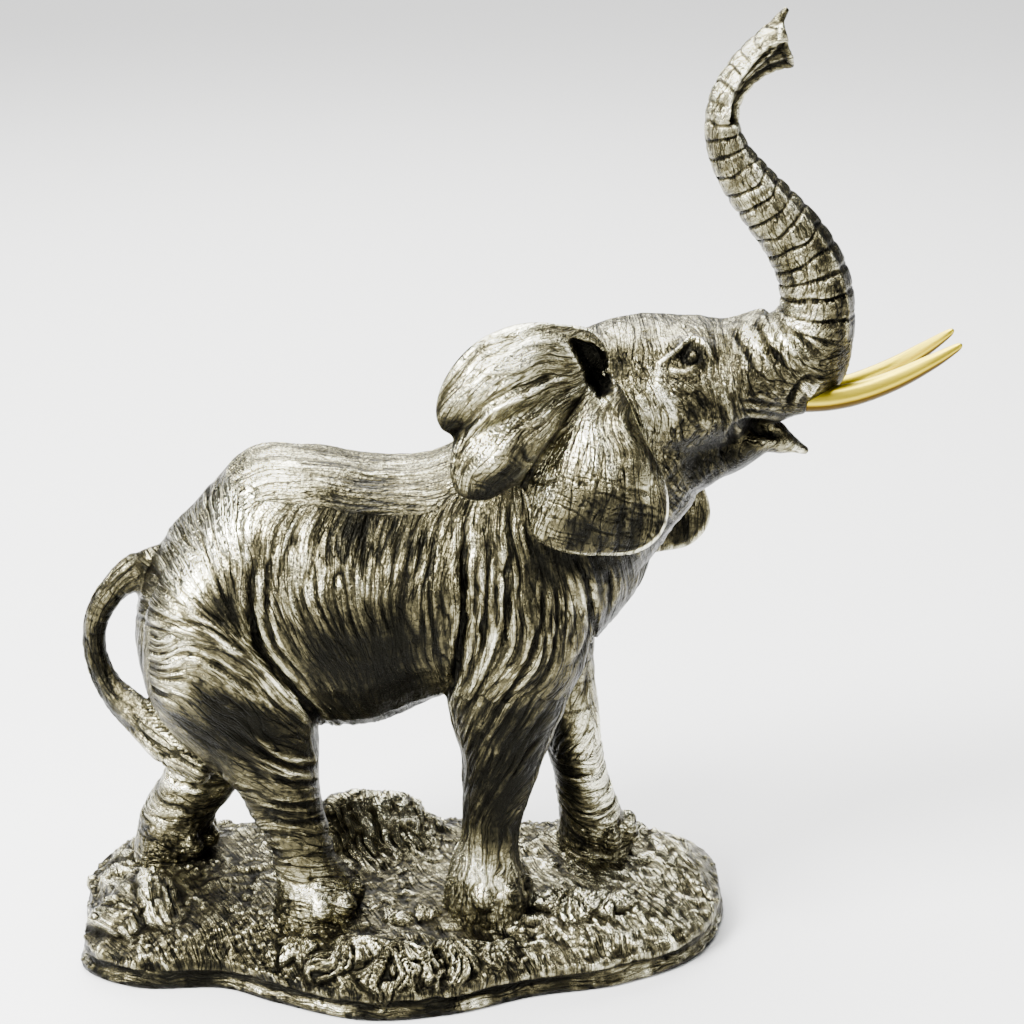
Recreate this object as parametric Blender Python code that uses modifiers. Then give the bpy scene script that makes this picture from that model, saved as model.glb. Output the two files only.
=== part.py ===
"""An elephant walking with its trunk raised, cast in one piece with a rocky ground, and two gold tusks.

The animal faces +X with its left side toward +Y. The origin is the centre of the ground's flat underside.
Every limb is a loft through oval sections; the lofts are fused by a voxel remesh, softened, and thinned
to a light faceted solid. All sizes below are millimetres and are turned into metres by MM.
"""

import math

import bmesh
import bpy
import numpy as np
from mathutils import Matrix, Vector, noise

MM = 0.001

# ---- driving sizes -------------------------------------------------------------------------------
VOXEL = 1.3                # grain of the fused solid
SOFTENING = 4              # smoothing passes over the fused solid
CAST_TRIANGLES = 8300      # what the thinned casting keeps
SEAT_GAP = 0.3             # clearance between a tusk and its socket
GROUND_LEVEL = 20.5        # height of the ground in its middle, between the rocks
GROUND_SLOPE = 0.05        # rise of the ground toward the far side, per length
RIM_HEIGHT = 8.5           # height at which the ground turns down to the table
FLESH = 0.35               # what the softening takes off, put back along the skin
EAR_THICKNESS = 3.4        # an ear's sheet, before the softening
BLOCK = 400.0              # side of the cutter that gives the flat underside
BEAD_HEIGHTS = ((1.0, 6.0), (0.988, 3.6), (1.004, 2.0), (1.0, -3.0))  # the lip: share of the rim, height

# ---- stations: x, y, z, half width across, half depth ---------------------------------------------
TORSO = [(-81, 0, 105, 6, 9), (-76, 0, 102, 16, 25), (-63, 0, 106, 26, 37), (-46, 0, 115, 33, 44.8),
         (-28, 0, 117, 36, 43.9), (-8, 0, 116.5, 37, 41.2), (12, 0, 121, 36, 37), (30, 0, 124, 34, 37),
         (46, 0, 127, 31, 33), (58, 0, 129, 25, 27), (68, 0, 130, 16, 17), (74, 0, 131, 6, 7)]
NECK = [(-6, 0, 119, 30, 37), (10, 0, 121.5, 33, 37), (24, 0, 126, 33, 36.5), (38, 0, 135.5, 31.5, 35),
        (52, 0, 151, 28, 32), (66, 0, 167, 24, 30), (78, 0, 178, 20, 24)]
SKULL = [(47, 0, 178, 14, 14), (56, 0, 178, 21, 20), (70, 0, 179, 25, 22.5), (86, 0, 181, 24, 20.5),
         (100, 0, 184, 20, 17), (112, 0, 188, 16.5, 16)]
CHEEK = [(72, 0, 161, 15, 15), (84, 0, 162, 16, 15), (94, 0, 164, 13, 11)]
JAW = [(84, 0, 160, 13, 10.5), (95, 0, 161.5, 10.5, 8.5), (102, 0, 164, 9, 7), (108, 0, 165.5, 7, 5.2),
       (113.5, 0, 163.5, 4.6, 3.8), (118, 0, 161.5, 2.4, 1.8), (121, 0, 160.2, 1, 1)]
UPPER_LIP = [(90, 0, 182, 18, 8.5), (104, 0, 180.5, 16.5, 7.5), (112, 0, 179.5, 14.5, 6.5),
             (117.5, 0, 181, 11, 5)]
TRUNK = [(106, 0, 186, 17, 17), (117, 0, 191, 16, 15.5), (122, 0, 202, 12.6, 11.5),
         (120.7, 0, 214, 10.8, 10.4), (115, 0, 225, 9.6, 9.4), (107.5, 0, 234, 8.6, 8.4),
         (100.3, 0, 242.5, 7.6, 7.3), (95.4, 0, 250, 6.4, 6.1), (93, 0, 258, 5.6, 5.1),
         (93.8, 0, 266, 5.3, 4.7), (97.4, 0, 272.3, 5.5, 4.9), (102, 0, 277, 6, 5.6),
         (107, 0, 280.2, 6.4, 6.6), (111, 0, 281.6, 6.5, 7.2)]
TRUNK_FINGER = [(104, 0, 284, 4, 3), (107.5, 0, 287.5, 3, 2), (110.5, 0, 291, 1.1, 1)]
TRUNK_MOUTH = [(104, 0, 280, 3.4, 3.4), (109, 0, 281.8, 4.6, 4.8), (116, 0, 283.5, 6.4, 7.4)]
TAIL = [(-70, 0, 124, 6, 8), (-79, 0, 122.5, 5, 6), (-86.5, 0, 117.5, 4.2, 4.6), (-92.5, 0, 109, 3.7, 3.8),
        (-94.6, 0, 99, 3.5, 3.5), (-92.4, -2, 89.6, 3.6, 3.7), (-86.8, -6, 82.8, 4.2, 4.8),
        (-78.5, -12, 77.8, 4.8, 6), (-69, -20, 73, 5, 6.6), (-58, -27, 68, 3.6, 4.4)]
NEAR_FORE_LEG = [(40, -10, 144, 7, 11), (38, -15, 130, 16, 22), (33, -19, 106, 16, 22.5),
                 (31, -19.5, 88, 14, 17.8), (30.2, -19, 74, 12, 13.4), (28.7, -18.5, 61, 10.6, 10.9),
                 (27, -18, 48, 9.6, 9.2), (26, -17.5, 39, 9.6, 9), (25, -17.5, 30, 11.6, 11.6),
                 (25, -17.5, 22, 13, 13.4), (25, -17.5, 10, 13.4, 14)]
FAR_FORE_LEG = [(42, 10, 140, 7, 10), (42, 14, 124, 15, 19), (43, 18, 104, 14, 16), (46.8, 20, 86, 12, 12),
                (50.4, 20, 70, 10.8, 9.8), (53, 20, 55, 9.6, 8.4), (55.4, 20, 43, 9, 8.2),
                (57.5, 20, 33, 10, 9.6), (59, 20, 25, 11.8, 11.6), (60, 20, 10, 13, 13)]
NEAR_HIND_LEG = [(-46, -10, 138, 6, 12), (-48, -16, 122, 16, 24), (-50, -20, 100, 17, 27),
                 (-45.5, -21, 84, 15.5, 22.5), (-40, -20.5, 70, 12.6, 15.8), (-36.2, -20, 57, 10.6, 11.4),
                 (-33, -20, 45, 9.8, 9.9), (-30.6, -19.5, 34, 9.8, 9.2), (-28, -19.5, 26, 12, 12),
                 (-27, -19.5, 18, 13, 13.2), (-27, -19.5, 9, 13.4, 13.8)]
FAR_HIND_LEG = [(-44, 8, 128, 7, 10), (-46, 14, 110, 16, 19), (-51, 18, 90, 15, 18), (-55, 20, 76, 14, 16.5),
                (-59, 20, 62, 12, 14), (-65, 20, 48, 10.6, 12.2), (-71, 20, 37, 9.9, 10.8),
                (-75, 20, 27, 11.2, 11.8), (-76.5, 20, 18, 12.6, 12.6), (-76, 20, 8, 13.4, 13.4)]
BROW = [(75, 20, 193.5, 1.2, 1.2), (80, 19.5, 198, 2, 2), (85, 18.5, 200.5, 2.2, 2.2),
        (89, 18, 198, 2, 2), (92, 18, 195, 1.2, 1.2)]
LOWER_LID = [(76, 21, 192, 1.4, 1.4), (81, 21.5, 190.5, 1.8, 1.8), (88, 20.5, 192.5, 1.4, 1.4)]
EYE = (84, 18.5, 194.8)
TEMPLE = (82, 12.5, 190)
SHEATH = [(104, 8.6, 181, 7.5, 7.5), (112, 8.8, 180.6, 6.6, 6.8), (118.5, 8.8, 180.6, 5, 5.4)]
TOES = [((25, -17.5, 25.5), -30), ((-27, -19.5, 23.5), -20), ((59.5, 20, 26), 0), ((-76, 20, 24), 10)]
TUSK = [(108, 8.6, 179.4, 3.4), (118, 8.8, 179, 3.6), (127, 8.8, 179.6, 3.5), (136, 8.6, 181.7, 3.3),
        (146, 8.2, 185.6, 2.9), (155.5, 8, 190.6, 2.1), (163, 7.8, 195.2, 0.9)]
LEFT_TUSK_DROP = 4.5       # the head leans, so the left tusk starts lower
LEFT_EYE_DROP = 7.0        # and so does the left eye

GROUND_OUTLINE = [(-101, -8), (-99, -27), (-81, -38), (-56, -38), (-38, -47), (-12, -57), (14, -54),
                  (40, -43), (66, -36), (90, -20), (100.5, 6), (99, 33), (84, 47), (48, 51), (8, 53),
                  (-40, 53), (-78, 47), (-103, 27)]
# x, y, height added, half length along x, half length along y
MOUNDS = [(-17, 21, 14, 14, 11), (-1, 27, 9, 11, 9), (-27, 15, 6, 8, 10), (-86, -10, 4, 11, 12),
          (56, -14, 3, 13, 8), (0, -43, 4, 24, 8), (88, 20, 3, 9, 16), (-84, 30, 3, 14, 12),
          (62, 36, 2, 16, 12)]

# ears: root, then the turn of the rim about the root; the head leans, so the left ear hangs lower
EARS = {"right": ((56, -21, 190), 0), "left": ((66, 20, 162), 12)}
# direction from the root in degrees (0 = +X, 90 = up), reach, and how far the rim stands out
EAR_RIM = [(-45, 20, 10), (-54, 36, 14), (-63, 46, 16), (-74, 50, 17), (-87, 49, 18), (-100, 49, 17),
           (-110, 48, 14), (-117, 41, 10), (-125, 38, 8), (-132, 45, 14), (-141, 49, 17), (-150, 47, 16),
           (-158, 43, 11), (-164, 45, 12), (-172, 45, 14), (176, 42, 14), (160, 36, 12), (145, 29, 9),
           (120, 19, 6), (85, 13, 3), (40, 6, 1), (0, 6, 1), (-30, 12, 6)]

# folds carved into the skin: side, depth (minus stands out), half width, and the run in x, z
FOLDS = [(-1, 2.6, 2.2, [(-42, 147), (-44, 126), (-41, 111), (-32, 96), (-23, 82), (-20, 72)]),
         (-1, 1.8, 2.0, [(-33, 152), (-39, 133), (-38, 113), (-33, 101)]),
         (-1, -1.2, 3.0, [(-60, 120), (-50, 112), (-39, 104), (-29, 92), (-25, 80)]),
         (-1, 2.8, 2.2, [(21, 152), (19, 128), (18, 108), (13, 94), (10, 84)]),
         (-1, 1.6, 1.8, [(20, 158), (13, 144), (11, 127), (14, 110)]),
         (-1, 1.8, 2.0, [(33, 144), (31, 127), (29, 111), (21, 96)]),
         (-1, 1.6, 2.0, [(40, 142), (41, 123), (37, 107), (29, 93)]),
         (-1, 2.4, 2.0, [(50, 144), (56, 127), (56, 113), (50, 104)]),
         (-1, 1.8, 1.8, [(55, 142), (62, 131), (61, 118)]),
         (1, 2.2, 2.4, [(-42, 147), (-46, 124), (-43, 106), (-34, 92)]),
         (1, 2.2, 2.4, [(20, 152), (20, 126), (22, 104), (28, 90)]),
         (1, 1.6, 2.2, [(40, 146), (46, 126), (42, 108)]),
         (1, 1.6, 2.2, [(54, 142), (60, 128), (58, 116)])]


def smooth_rows(rows, per_span=4, closed=False):
    """Rows of numbers resampled along a smooth curve that runs through every one of them."""
    rows = np.array(rows, float)
    if closed:
        ends = np.vstack([rows[-1], rows, rows[0], rows[1]])
    else:
        ends = np.vstack([2 * rows[0] - rows[1], rows, 2 * rows[-1] - rows[-2]])
    made = []
    for i in range(1, len(ends) - 2):
        a, b, c, d = ends[i - 1:i + 3]
        for t in np.arange(per_span) / per_span:
            made.append(0.5 * (2 * b + (c - a) * t + (2 * a - 5 * b + 4 * c - d) * t ** 2
                               + (3 * b - a - 3 * c + d) * t ** 3))
    return np.array(made if closed else made + [rows[-1]])


def unit(vectors):
    """Each row of vectors at length one."""
    return vectors / np.linalg.norm(vectors, axis=-1, keepdims=True)


def bridge_rings(bm, rings):
    """Join equal rings of points into one closed skin with a flat fan at each end."""
    loops = [[bm.verts.new(Vector(point) * MM) for point in ring] for ring in rings]
    count = len(loops[0])
    for low, high in zip(loops, loops[1:]):
        for i in range(count):
            j = (i + 1) % count
            bm.faces.new((low[i], low[j], high[j], high[i]))
    bm.faces.new(list(reversed(loops[0])))
    bm.faces.new(loops[-1])


def add_limb(bm, stations, sides=20, upright=False):
    """A closed loft along x, y, z with oval sections set square to its path, or all square to +X."""
    rows = smooth_rows(stations)
    path = rows[:, :3]
    along = np.tile([1.0, 0.0, 0.0], (len(rows), 1)) if upright else unit(np.gradient(path, axis=0))
    across = unit(np.array([0.0, 1.0, 0.0]) - along * along[:, 1:2])
    deep = np.cross(along, across)
    turn = np.linspace(0, 2 * math.pi, sides, endpoint=False)
    rings = [path[i] + np.outer(np.cos(turn), across[i]) * rows[i, 3]
             + np.outer(np.sin(turn), deep[i]) * rows[i, 4] for i in range(len(rows))]
    bridge_rings(bm, rings)


def add_ball(bm, centre, half_sizes):
    """An egg of muscle or bone."""
    shape = Matrix.Translation(Vector(centre) * MM) @ Matrix.Diagonal((*(Vector(half_sizes) * MM), 1))
    bmesh.ops.create_uvsphere(bm, u_segments=20, v_segments=12, radius=1, matrix=shape)


def ear_point(root, angle, reach, stand, part):
    """A point of the ear's middle sheet: part 0 is the root, part 1 the rim, which rolls in a little."""
    swell = math.sin(min(part / 0.62, 1.0) * math.pi / 2)
    out = stand * swell - 10 * max(part - 0.75, 0)
    side = math.copysign(1, root[1])
    return np.array([root[0] + math.cos(angle) * reach * part, root[1] + side * out,
                     root[2] + math.sin(angle) * reach * part])


def add_ear(bm, root, turn, steps=9):
    """A lobed, folded ear as a closed sheet around its root, with its rim turned by some degrees."""
    compass = [(math.cos(math.radians(a + turn)), math.sin(math.radians(a + turn)), r, out)
               for a, r, out in EAR_RIM]
    rims = [(math.atan2(s, c), r, out) for c, s, r, out in smooth_rows(compass, 3, closed=True)]
    half = np.array([0, math.copysign(EAR_THICKNESS / 2, root[1]), 0])
    parts = np.linspace(1 / steps, 1, steps)
    outer = [[ear_point(root, *rim, part) + half for rim in rims] for part in parts]
    inner = [[ear_point(root, *rim, part) - half for rim in rims] for part in parts[::-1]]
    bridge_rings(bm, outer + inner)


def add_face(bm, side):
    """One eye with its lids, and the wrinkled sheath that holds the tusk."""
    eye_drop, tusk_drop = (LEFT_EYE_DROP, LEFT_TUSK_DROP) if side > 0 else (0, 0)
    for form, lower in ((BROW, eye_drop), (LOWER_LID, eye_drop), (SHEATH, tusk_drop)):
        add_limb(bm, [(x, y * side, z - lower, a, b) for x, y, z, a, b in form], 12)
    for (x, y, z), half_sizes in ((EYE, (3.4, 2.8, 3.0)), (TEMPLE, (15, 8.5, 9.5))):
        add_ball(bm, (x, y * side, z - eye_drop), half_sizes)


def add_toes(bm, foot, angle, count=4, reach=11.5):
    """The toenails round the front of a foot."""
    for turn in np.linspace(-62, 62, count):
        heading = math.radians(angle + turn)
        place = (foot[0] + reach * math.cos(heading), foot[1] + reach * math.sin(heading), foot[2])
        add_ball(bm, place, (3.6, 3.6, 4.2))


def ground_rim(count=96):
    """The plan outline of the ground, lobed and rounded."""
    return smooth_rows(GROUND_OUTLINE, count // len(GROUND_OUTLINE) + 1, closed=True)


def ground_height(x, y, edge):
    """Height of the ground at a place; edge is 0 in the middle and 1 at the rim."""
    height = RIM_HEIGHT + (GROUND_LEVEL - RIM_HEIGHT) * (1 - edge ** 4) + GROUND_SLOPE * y * (1 - edge ** 6)
    for cx, cy, rise, half_x, half_y in MOUNDS:
        height += rise * math.exp(-((x - cx) / half_x) ** 2 - ((y - cy) / half_y) ** 2)
    swells = 1.6 * noise.noise(Vector((x, y, 4.0)) * 0.11)
    lumps = 1.1 * noise.noise(Vector((x, y, 9.0)) * 0.23)
    return height + swells + lumps


def add_ground(bm, steps=22):
    """The ground as a stack of rings from the middle of the top, over the rim, to the underside."""
    rim = ground_rim()
    middle = rim.mean(axis=0)
    rings = []
    for part in np.linspace(0.04, 0.985, steps):
        ring = middle + (rim - middle) * part
        rings.append([(x, y, ground_height(x, y, part)) for x, y in ring])
    for grow, height in BEAD_HEIGHTS:
        rings.append([(x, y, height) for x, y in middle + (rim - middle) * grow])
    bridge_rings(bm, rings[::-1])


def mesh_object(name, bm, collection):
    """A finished bmesh as an object of its own."""
    bmesh.ops.recalc_face_normals(bm, faces=bm.faces)
    mesh = bpy.data.meshes.new(name)
    bm.to_mesh(mesh)
    bm.free()
    made = bpy.data.objects.new(name, mesh)
    collection.objects.link(made)
    return made


def metal(name, colour, roughness):
    """A plain metal finish."""
    material = bpy.data.materials.new(name)
    material.use_nodes = True
    shader = material.node_tree.nodes["Principled BSDF"]
    shader.inputs["Base Color"].default_value = (*colour, 1)
    shader.inputs["Metallic"].default_value = 1.0
    shader.inputs["Roughness"].default_value = roughness
    return material


def cutter(made):
    """Mark an object as a tool that is not part of the statue."""
    made.hide_render = True
    made.display_type = "WIRE"
    return made


def difference(target, tool):
    """Cut a tool out of a target, exactly."""
    cut = target.modifiers.new("cut " + tool.name, "BOOLEAN")
    cut.operation = "DIFFERENCE"
    cut.solver = "EXACT"
    cut.object = tool


def tusk_rows(side, grow=0.0, first_pull=0.0):
    """The tusk's stations on one side, grown all round and pulled back at the root by the given lengths."""
    rows = smooth_rows(TUSK, 3)
    rows[:, 1] *= side
    if side > 0:
        rows[:, 2] -= LEFT_TUSK_DROP * (1 - np.linspace(0, 1, len(rows)) ** 1.5)
    rows[:, 3] += grow
    if first_pull:
        back = unit(rows[0, :3] - rows[1, :3])
        rows[0, :3] += back * first_pull
    return rows


def tusk_mesh(name, rows, collection, sides_level):
    """A tapering round rod along the tusk's path, as a welded mesh."""
    curve = bpy.data.curves.new(name, "CURVE")
    curve.dimensions = "3D"
    curve.bevel_depth = MM
    curve.bevel_resolution = sides_level
    curve.use_fill_caps = True
    spline = curve.splines.new("POLY")
    spline.points.add(len(rows) - 1)
    for point, row in zip(spline.points, rows):
        point.co = (*(row[:3] * MM), 1)
        point.radius = row[3]
    drawn = bpy.data.objects.new(name + " path", curve)
    collection.objects.link(drawn)
    solid = bpy.data.meshes.new_from_object(drawn.evaluated_get(bpy.context.evaluated_depsgraph_get()))
    bpy.data.objects.remove(drawn)
    bm = bmesh.new()
    bm.from_mesh(solid)
    bmesh.ops.remove_doubles(bm, verts=bm.verts, dist=0.01 * MM)
    return mesh_object(name, bm, collection)


def fold_depth(points, run, width):
    """How deep in a fold each point lies, from 0 outside to 1 on the line of the run in x and z."""
    line = smooth_rows(run, 5)
    nearest = np.full(len(points), 1e9)
    for a, b in zip(line, line[1:]):
        step = b - a
        share = np.clip(((points - a) @ step) / (step @ step), 0, 1)
        nearest = np.minimum(nearest, np.linalg.norm(points - a - share[:, None] * step, axis=1))
    return np.exp(-(nearest / width) ** 2)


def carve(mesh):
    """Press the folds into the skin, and put back what the softening took off."""
    count = len(mesh.vertices)
    place, facing = np.empty(count * 3), np.empty(count * 3)
    mesh.vertices.foreach_get("co", place)
    mesh.vertices.foreach_get("normal", facing)
    place, facing = place.reshape(-1, 3) / MM, facing.reshape(-1, 3)
    push = np.full(count, FLESH)
    for side, depth, width, run in FOLDS:
        outward = np.clip((place[:, 1] * side - 12) / 6, 0, 1) * np.clip(facing[:, 1] * side * 2, 0, 1)
        push -= depth * outward * fold_depth(place[:, [0, 2]], run, width)
    mesh.vertices.foreach_set("co", ((place + facing * push[:, None]) * MM).ravel())


def fused(name, bm, collection):
    """The overlapping forms of a bmesh as one softened skin."""
    made = mesh_object(name, bm, collection)
    fuse = made.modifiers.new("fuse", "REMESH")
    fuse.mode = "VOXEL"
    fuse.voxel_size = VOXEL * MM
    soften = made.modifiers.new("soften", "SMOOTH")
    soften.iterations = SOFTENING
    skin = bpy.data.meshes.new_from_object(made.evaluated_get(bpy.context.evaluated_depsgraph_get()))
    made.modifiers.clear()
    made.data = skin
    return made


def build_casting(collection, tools):
    """The elephant and its ground as one fused, softened, carved and thinned solid."""
    bm = bmesh.new()
    add_limb(bm, TORSO, upright=True)
    for limb in (NECK, SKULL, CHEEK, JAW, UPPER_LIP, TRUNK, TRUNK_FINGER, TAIL, NEAR_FORE_LEG,
                 FAR_FORE_LEG, NEAR_HIND_LEG, FAR_HIND_LEG):
        add_limb(bm, limb)
    for root, turn in EARS.values():
        add_ear(bm, root, turn)
    for side in (-1, 1):
        add_face(bm, side)
    for foot, angle in TOES:
        add_toes(bm, foot, angle)
    add_ground(bm)
    casting = fused("elephant_on_rocky_ground", bm, collection)
    carve(casting.data)
    thin = casting.modifiers.new("thin", "DECIMATE")
    thin.ratio = CAST_TRIANGLES / (2 * len(casting.data.polygons))
    block = bmesh.new()
    bmesh.ops.create_cube(block, size=BLOCK * MM, matrix=Matrix.Translation((0, 0, -BLOCK / 2 * MM)))
    table = cutter(mesh_object("table below the ground", block, tools))
    difference(casting, table)
    nostril = bmesh.new()
    add_limb(nostril, TRUNK_MOUTH, 12)
    difference(casting, cutter(mesh_object("trunk opening", nostril, tools)))
    for side, name in ((-1, "right"), (1, "left")):
        rows = tusk_rows(side, SEAT_GAP, SEAT_GAP)
        difference(casting, cutter(tusk_mesh("socket " + name, rows, tools, 3)))
    casting.data.materials.append(metal("bronze", (0.30, 0.26, 0.19), 0.38))
    return casting


def main():
    for old in list(bpy.data.objects):
        bpy.data.objects.remove(old)
    statue = bpy.data.collections.new("elephant statue")
    tools = bpy.data.collections.new("cutters")
    bpy.context.scene.collection.children.link(statue)
    bpy.context.scene.collection.children.link(tools)
    build_casting(statue, tools)
    gold = metal("gold_tusk", (0.72, 0.52, 0.20), 0.32)
    for side, name in ((-1, "tusk_right"), (1, "tusk_left")):
        tusk = tusk_mesh(name, tusk_rows(side), statue, 3)
        tusk.data.shade_smooth()
        tusk.data.materials.append(gold)


main()
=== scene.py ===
"""The looks of the elephant statue: wrinkled bronze hide, rocky ground, gold tusks, and a plain studio.

Sizes in the tables are millimetres in the statue's own frame: +X toward the head, +Y to the elephant's
left, +Z up, with the origin under the middle of the ground. Each form is a loft through oval sections.
The lofts are fused by a fine voxel remesh and then carved: every wrinkle is a height that is worked
out from the place on the hide, so the carving is the same on each run.
"""

import math

import bmesh
import bpy
import numpy as np
from mathutils import Matrix, Vector


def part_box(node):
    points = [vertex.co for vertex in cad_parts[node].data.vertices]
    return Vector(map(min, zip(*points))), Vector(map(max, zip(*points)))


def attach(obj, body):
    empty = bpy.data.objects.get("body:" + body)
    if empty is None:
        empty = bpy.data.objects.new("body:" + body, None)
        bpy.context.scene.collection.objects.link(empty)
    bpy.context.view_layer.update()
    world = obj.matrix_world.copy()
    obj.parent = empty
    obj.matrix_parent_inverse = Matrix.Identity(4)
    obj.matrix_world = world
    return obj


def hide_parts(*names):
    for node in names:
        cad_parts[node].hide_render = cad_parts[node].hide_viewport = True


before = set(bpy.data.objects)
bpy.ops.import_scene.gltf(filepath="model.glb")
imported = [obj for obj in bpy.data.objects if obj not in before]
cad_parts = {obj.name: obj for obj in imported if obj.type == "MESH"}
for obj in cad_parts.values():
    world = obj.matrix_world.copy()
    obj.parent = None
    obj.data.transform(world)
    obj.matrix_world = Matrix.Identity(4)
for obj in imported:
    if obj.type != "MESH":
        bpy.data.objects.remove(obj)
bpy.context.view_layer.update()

bl_info = {
    "name": "Elephant Statue",
    "version": (1, 0, 0),
    "blender": (4, 5, 0),
    "location": "View3D > Sidebar > Statue",
    "description": "Models a cast elephant with a raised trunk on rocky ground, and its studio",
    "category": "Add Mesh",
}

CASTING = "elephant_on_rocky_ground"
CAST_LOW, CAST_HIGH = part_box(CASTING)
NOMINAL_HEIGHT = 291.3                       # the casting's height in the tables below
MM = (CAST_HIGH.z - CAST_LOW.z) / NOMINAL_HEIGHT

# ---- forms: x, y, z, half width across, half depth ------------------------------------------------
TORSO = [(-81, 0, 105, 6, 9), (-76, 0, 102, 16, 25), (-63, 0, 106, 26, 37), (-46, 0, 115, 33, 44.8),
         (-28, 0, 117, 36, 43.9), (-8, 0, 116.5, 37, 41.2), (12, 0, 121, 36, 37), (30, 0, 124, 34, 37),
         (46, 0, 127, 31, 33), (58, 0, 129, 25, 27), (68, 0, 130, 16, 17), (74, 0, 131, 6, 7)]
NECK = [(-6, 0, 119, 30, 37), (10, 0, 121.5, 33, 37), (24, 0, 126, 33, 36.5), (38, 0, 135.5, 31.5, 35),
        (52, 0, 151, 28, 32), (66, 0, 167, 24, 30), (78, 0, 178, 20, 24)]
SKULL = [(47, 0, 178, 14, 14), (56, 0, 178, 21, 20), (70, 0, 179, 25, 22.5), (86, 0, 181, 24, 20.5),
         (100, 0, 184, 20, 17), (112, 0, 188, 16.5, 16)]
CHEEK = [(72, 0, 161, 15, 15), (84, 0, 162, 16, 15), (94, 0, 164, 13, 11)]
JAW = [(84, 0, 160, 13, 10.5), (95, 0, 161.5, 10.5, 8.5), (102, 0, 164, 9, 7), (108, 0, 165.5, 7, 5.2),
       (113.5, 0, 163.5, 4.6, 3.8), (118, 0, 161.5, 2.4, 1.8), (121, 0, 160.2, 1, 1)]
UPPER_LIP = [(90, 0, 182, 18, 8.5), (104, 0, 180.5, 16.5, 7.5), (112, 0, 179.5, 14.5, 6.5),
             (117.5, 0, 181, 11, 5)]
TRUNK = [(106, 0, 186, 17, 17), (117, 0, 191, 16, 15.5), (122, 0, 202, 12.6, 11.5),
         (120.7, 0, 214, 10.8, 10.4), (115, 0, 225, 9.6, 9.4), (107.5, 0, 234, 8.6, 8.4),
         (100.3, 0, 242.5, 7.6, 7.3), (95.4, 0, 250, 6.4, 6.1), (93, 0, 258, 5.6, 5.1),
         (93.8, 0, 266, 5.3, 4.7), (97.4, 0, 272.3, 5.5, 4.9), (102, 0, 277, 6, 5.6),
         (107, 0, 280.2, 6.4, 6.6), (111, 0, 281.6, 6.5, 7.2)]
TRUNK_LIP = [(110.5, 298), (108, 292), (107, 287.5), (102.5, 282), (97, 275.5), (95, 269.5), (97.5, 263)]
TRUNK_END_FACING = (0.944, 0, 0.33)          # the way the trunk's open end faces
TRUNK_SLOT = [(113, 285), (107, 284), (102, 279.5), (97.5, 273.5), (96, 267)]   # the cleft behind the end
TRUNK_FINGER = [(103, 0, 280.5, 3.2, 3.4), (105.2, 0, 283.8, 2.7, 2.8), (107.2, 0, 286.8, 1.9, 2.0),
                (109, 0, 289.6, 1.4, 1.3), (110.4, 0, 291.6, 0.9, 0.9)]
TAIL = [(-70, 0, 124, 6, 8), (-79, 0, 122.5, 5, 6), (-86.5, 0, 117.5, 4.2, 4.6), (-92.5, 0, 109, 3.7, 3.8),
        (-94.6, 0, 99, 3.5, 3.5), (-92.4, -2, 89.6, 3.6, 3.7), (-86.8, -6, 82.8, 4.2, 4.8),
        (-78.5, -12, 77.8, 4.8, 6), (-69, -20, 73, 5, 6.6), (-58, -27, 68, 3.6, 4.4)]
NEAR_FORE_LEG = [(40, -10, 144, 7, 11), (38, -15, 130, 16, 22), (33, -19, 106, 16, 22.5),
                 (31, -19.5, 88, 14, 17.8), (30.2, -19, 74, 12, 13.4), (28.7, -18.5, 61, 10.6, 10.9),
                 (27, -18, 48, 9.6, 9.2), (26, -17.5, 39, 9.6, 9), (25, -17.5, 30, 11.6, 11.6),
                 (25, -17.5, 22, 13, 13.4), (25, -17.5, 10, 13.4, 14)]
FAR_FORE_LEG = [(42, 10, 140, 7, 10), (42, 14, 124, 15, 19), (43, 18, 104, 14, 16), (46.8, 20, 86, 12, 12),
                (50.4, 20, 70, 10.8, 9.8), (53, 20, 55, 9.6, 8.4), (55.4, 20, 43, 9, 8.2),
                (57.5, 20, 33, 10, 9.6), (59, 20, 25, 11.8, 11.6), (60, 20, 10, 13, 13)]
NEAR_HIND_LEG = [(-46, -10, 138, 6, 12), (-48, -16, 122, 16, 24), (-50, -20, 100, 17, 27),
                 (-45.5, -21, 84, 15.5, 22.5), (-40, -20.5, 70, 12.6, 15.8), (-36.2, -20, 57, 10.6, 11.4),
                 (-33, -20, 45, 9.8, 9.9), (-30.6, -19.5, 34, 9.8, 9.2), (-28, -19.5, 26, 12, 12),
                 (-27, -19.5, 18, 13, 13.2), (-27, -19.5, 9, 13.4, 13.8)]
FAR_HIND_LEG = [(-44, 8, 128, 7, 10), (-46, 14, 110, 16, 19), (-51, 18, 90, 15, 18), (-55, 20, 76, 14, 16.5),
                (-59, 20, 62, 12, 14), (-65, 20, 48, 10.6, 12.2), (-71, 20, 37, 9.9, 10.8),
                (-75, 20, 27, 11.2, 11.8), (-76.5, 20, 18, 12.6, 12.6), (-76, 20, 8, 13.4, 13.4)]
TEMPLE = (82, 12.5, 190)
TEMPLE_SIZE = (15, 8.5, 9.5)
SHEATH = [(104, 8.6, 181, 7.5, 7.5), (112, 8.8, 180.6, 6.6, 6.8), (118.5, 8.8, 180.6, 5, 5.4)]
TOES = [((25, -17.5, 25.5), -30), ((-27, -19.5, 23.5), -20), ((59.5, 20, 26), 0), ((-76, 20, 24), 10)]
TUSK = [(108, 8.6, 179.4, 3.4), (118, 8.8, 179, 3.6), (127, 8.8, 179.6, 3.55), (136, 8.6, 181.7, 3.35),
        (146, 8.2, 185.6, 2.95), (155.5, 8, 190.6, 2.2), (161.5, 7.8, 194.2, 1.35), (163.2, 7.8, 195.3, 0.8),
        (163.7, 7.8, 195.6, 0.2)]
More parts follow.
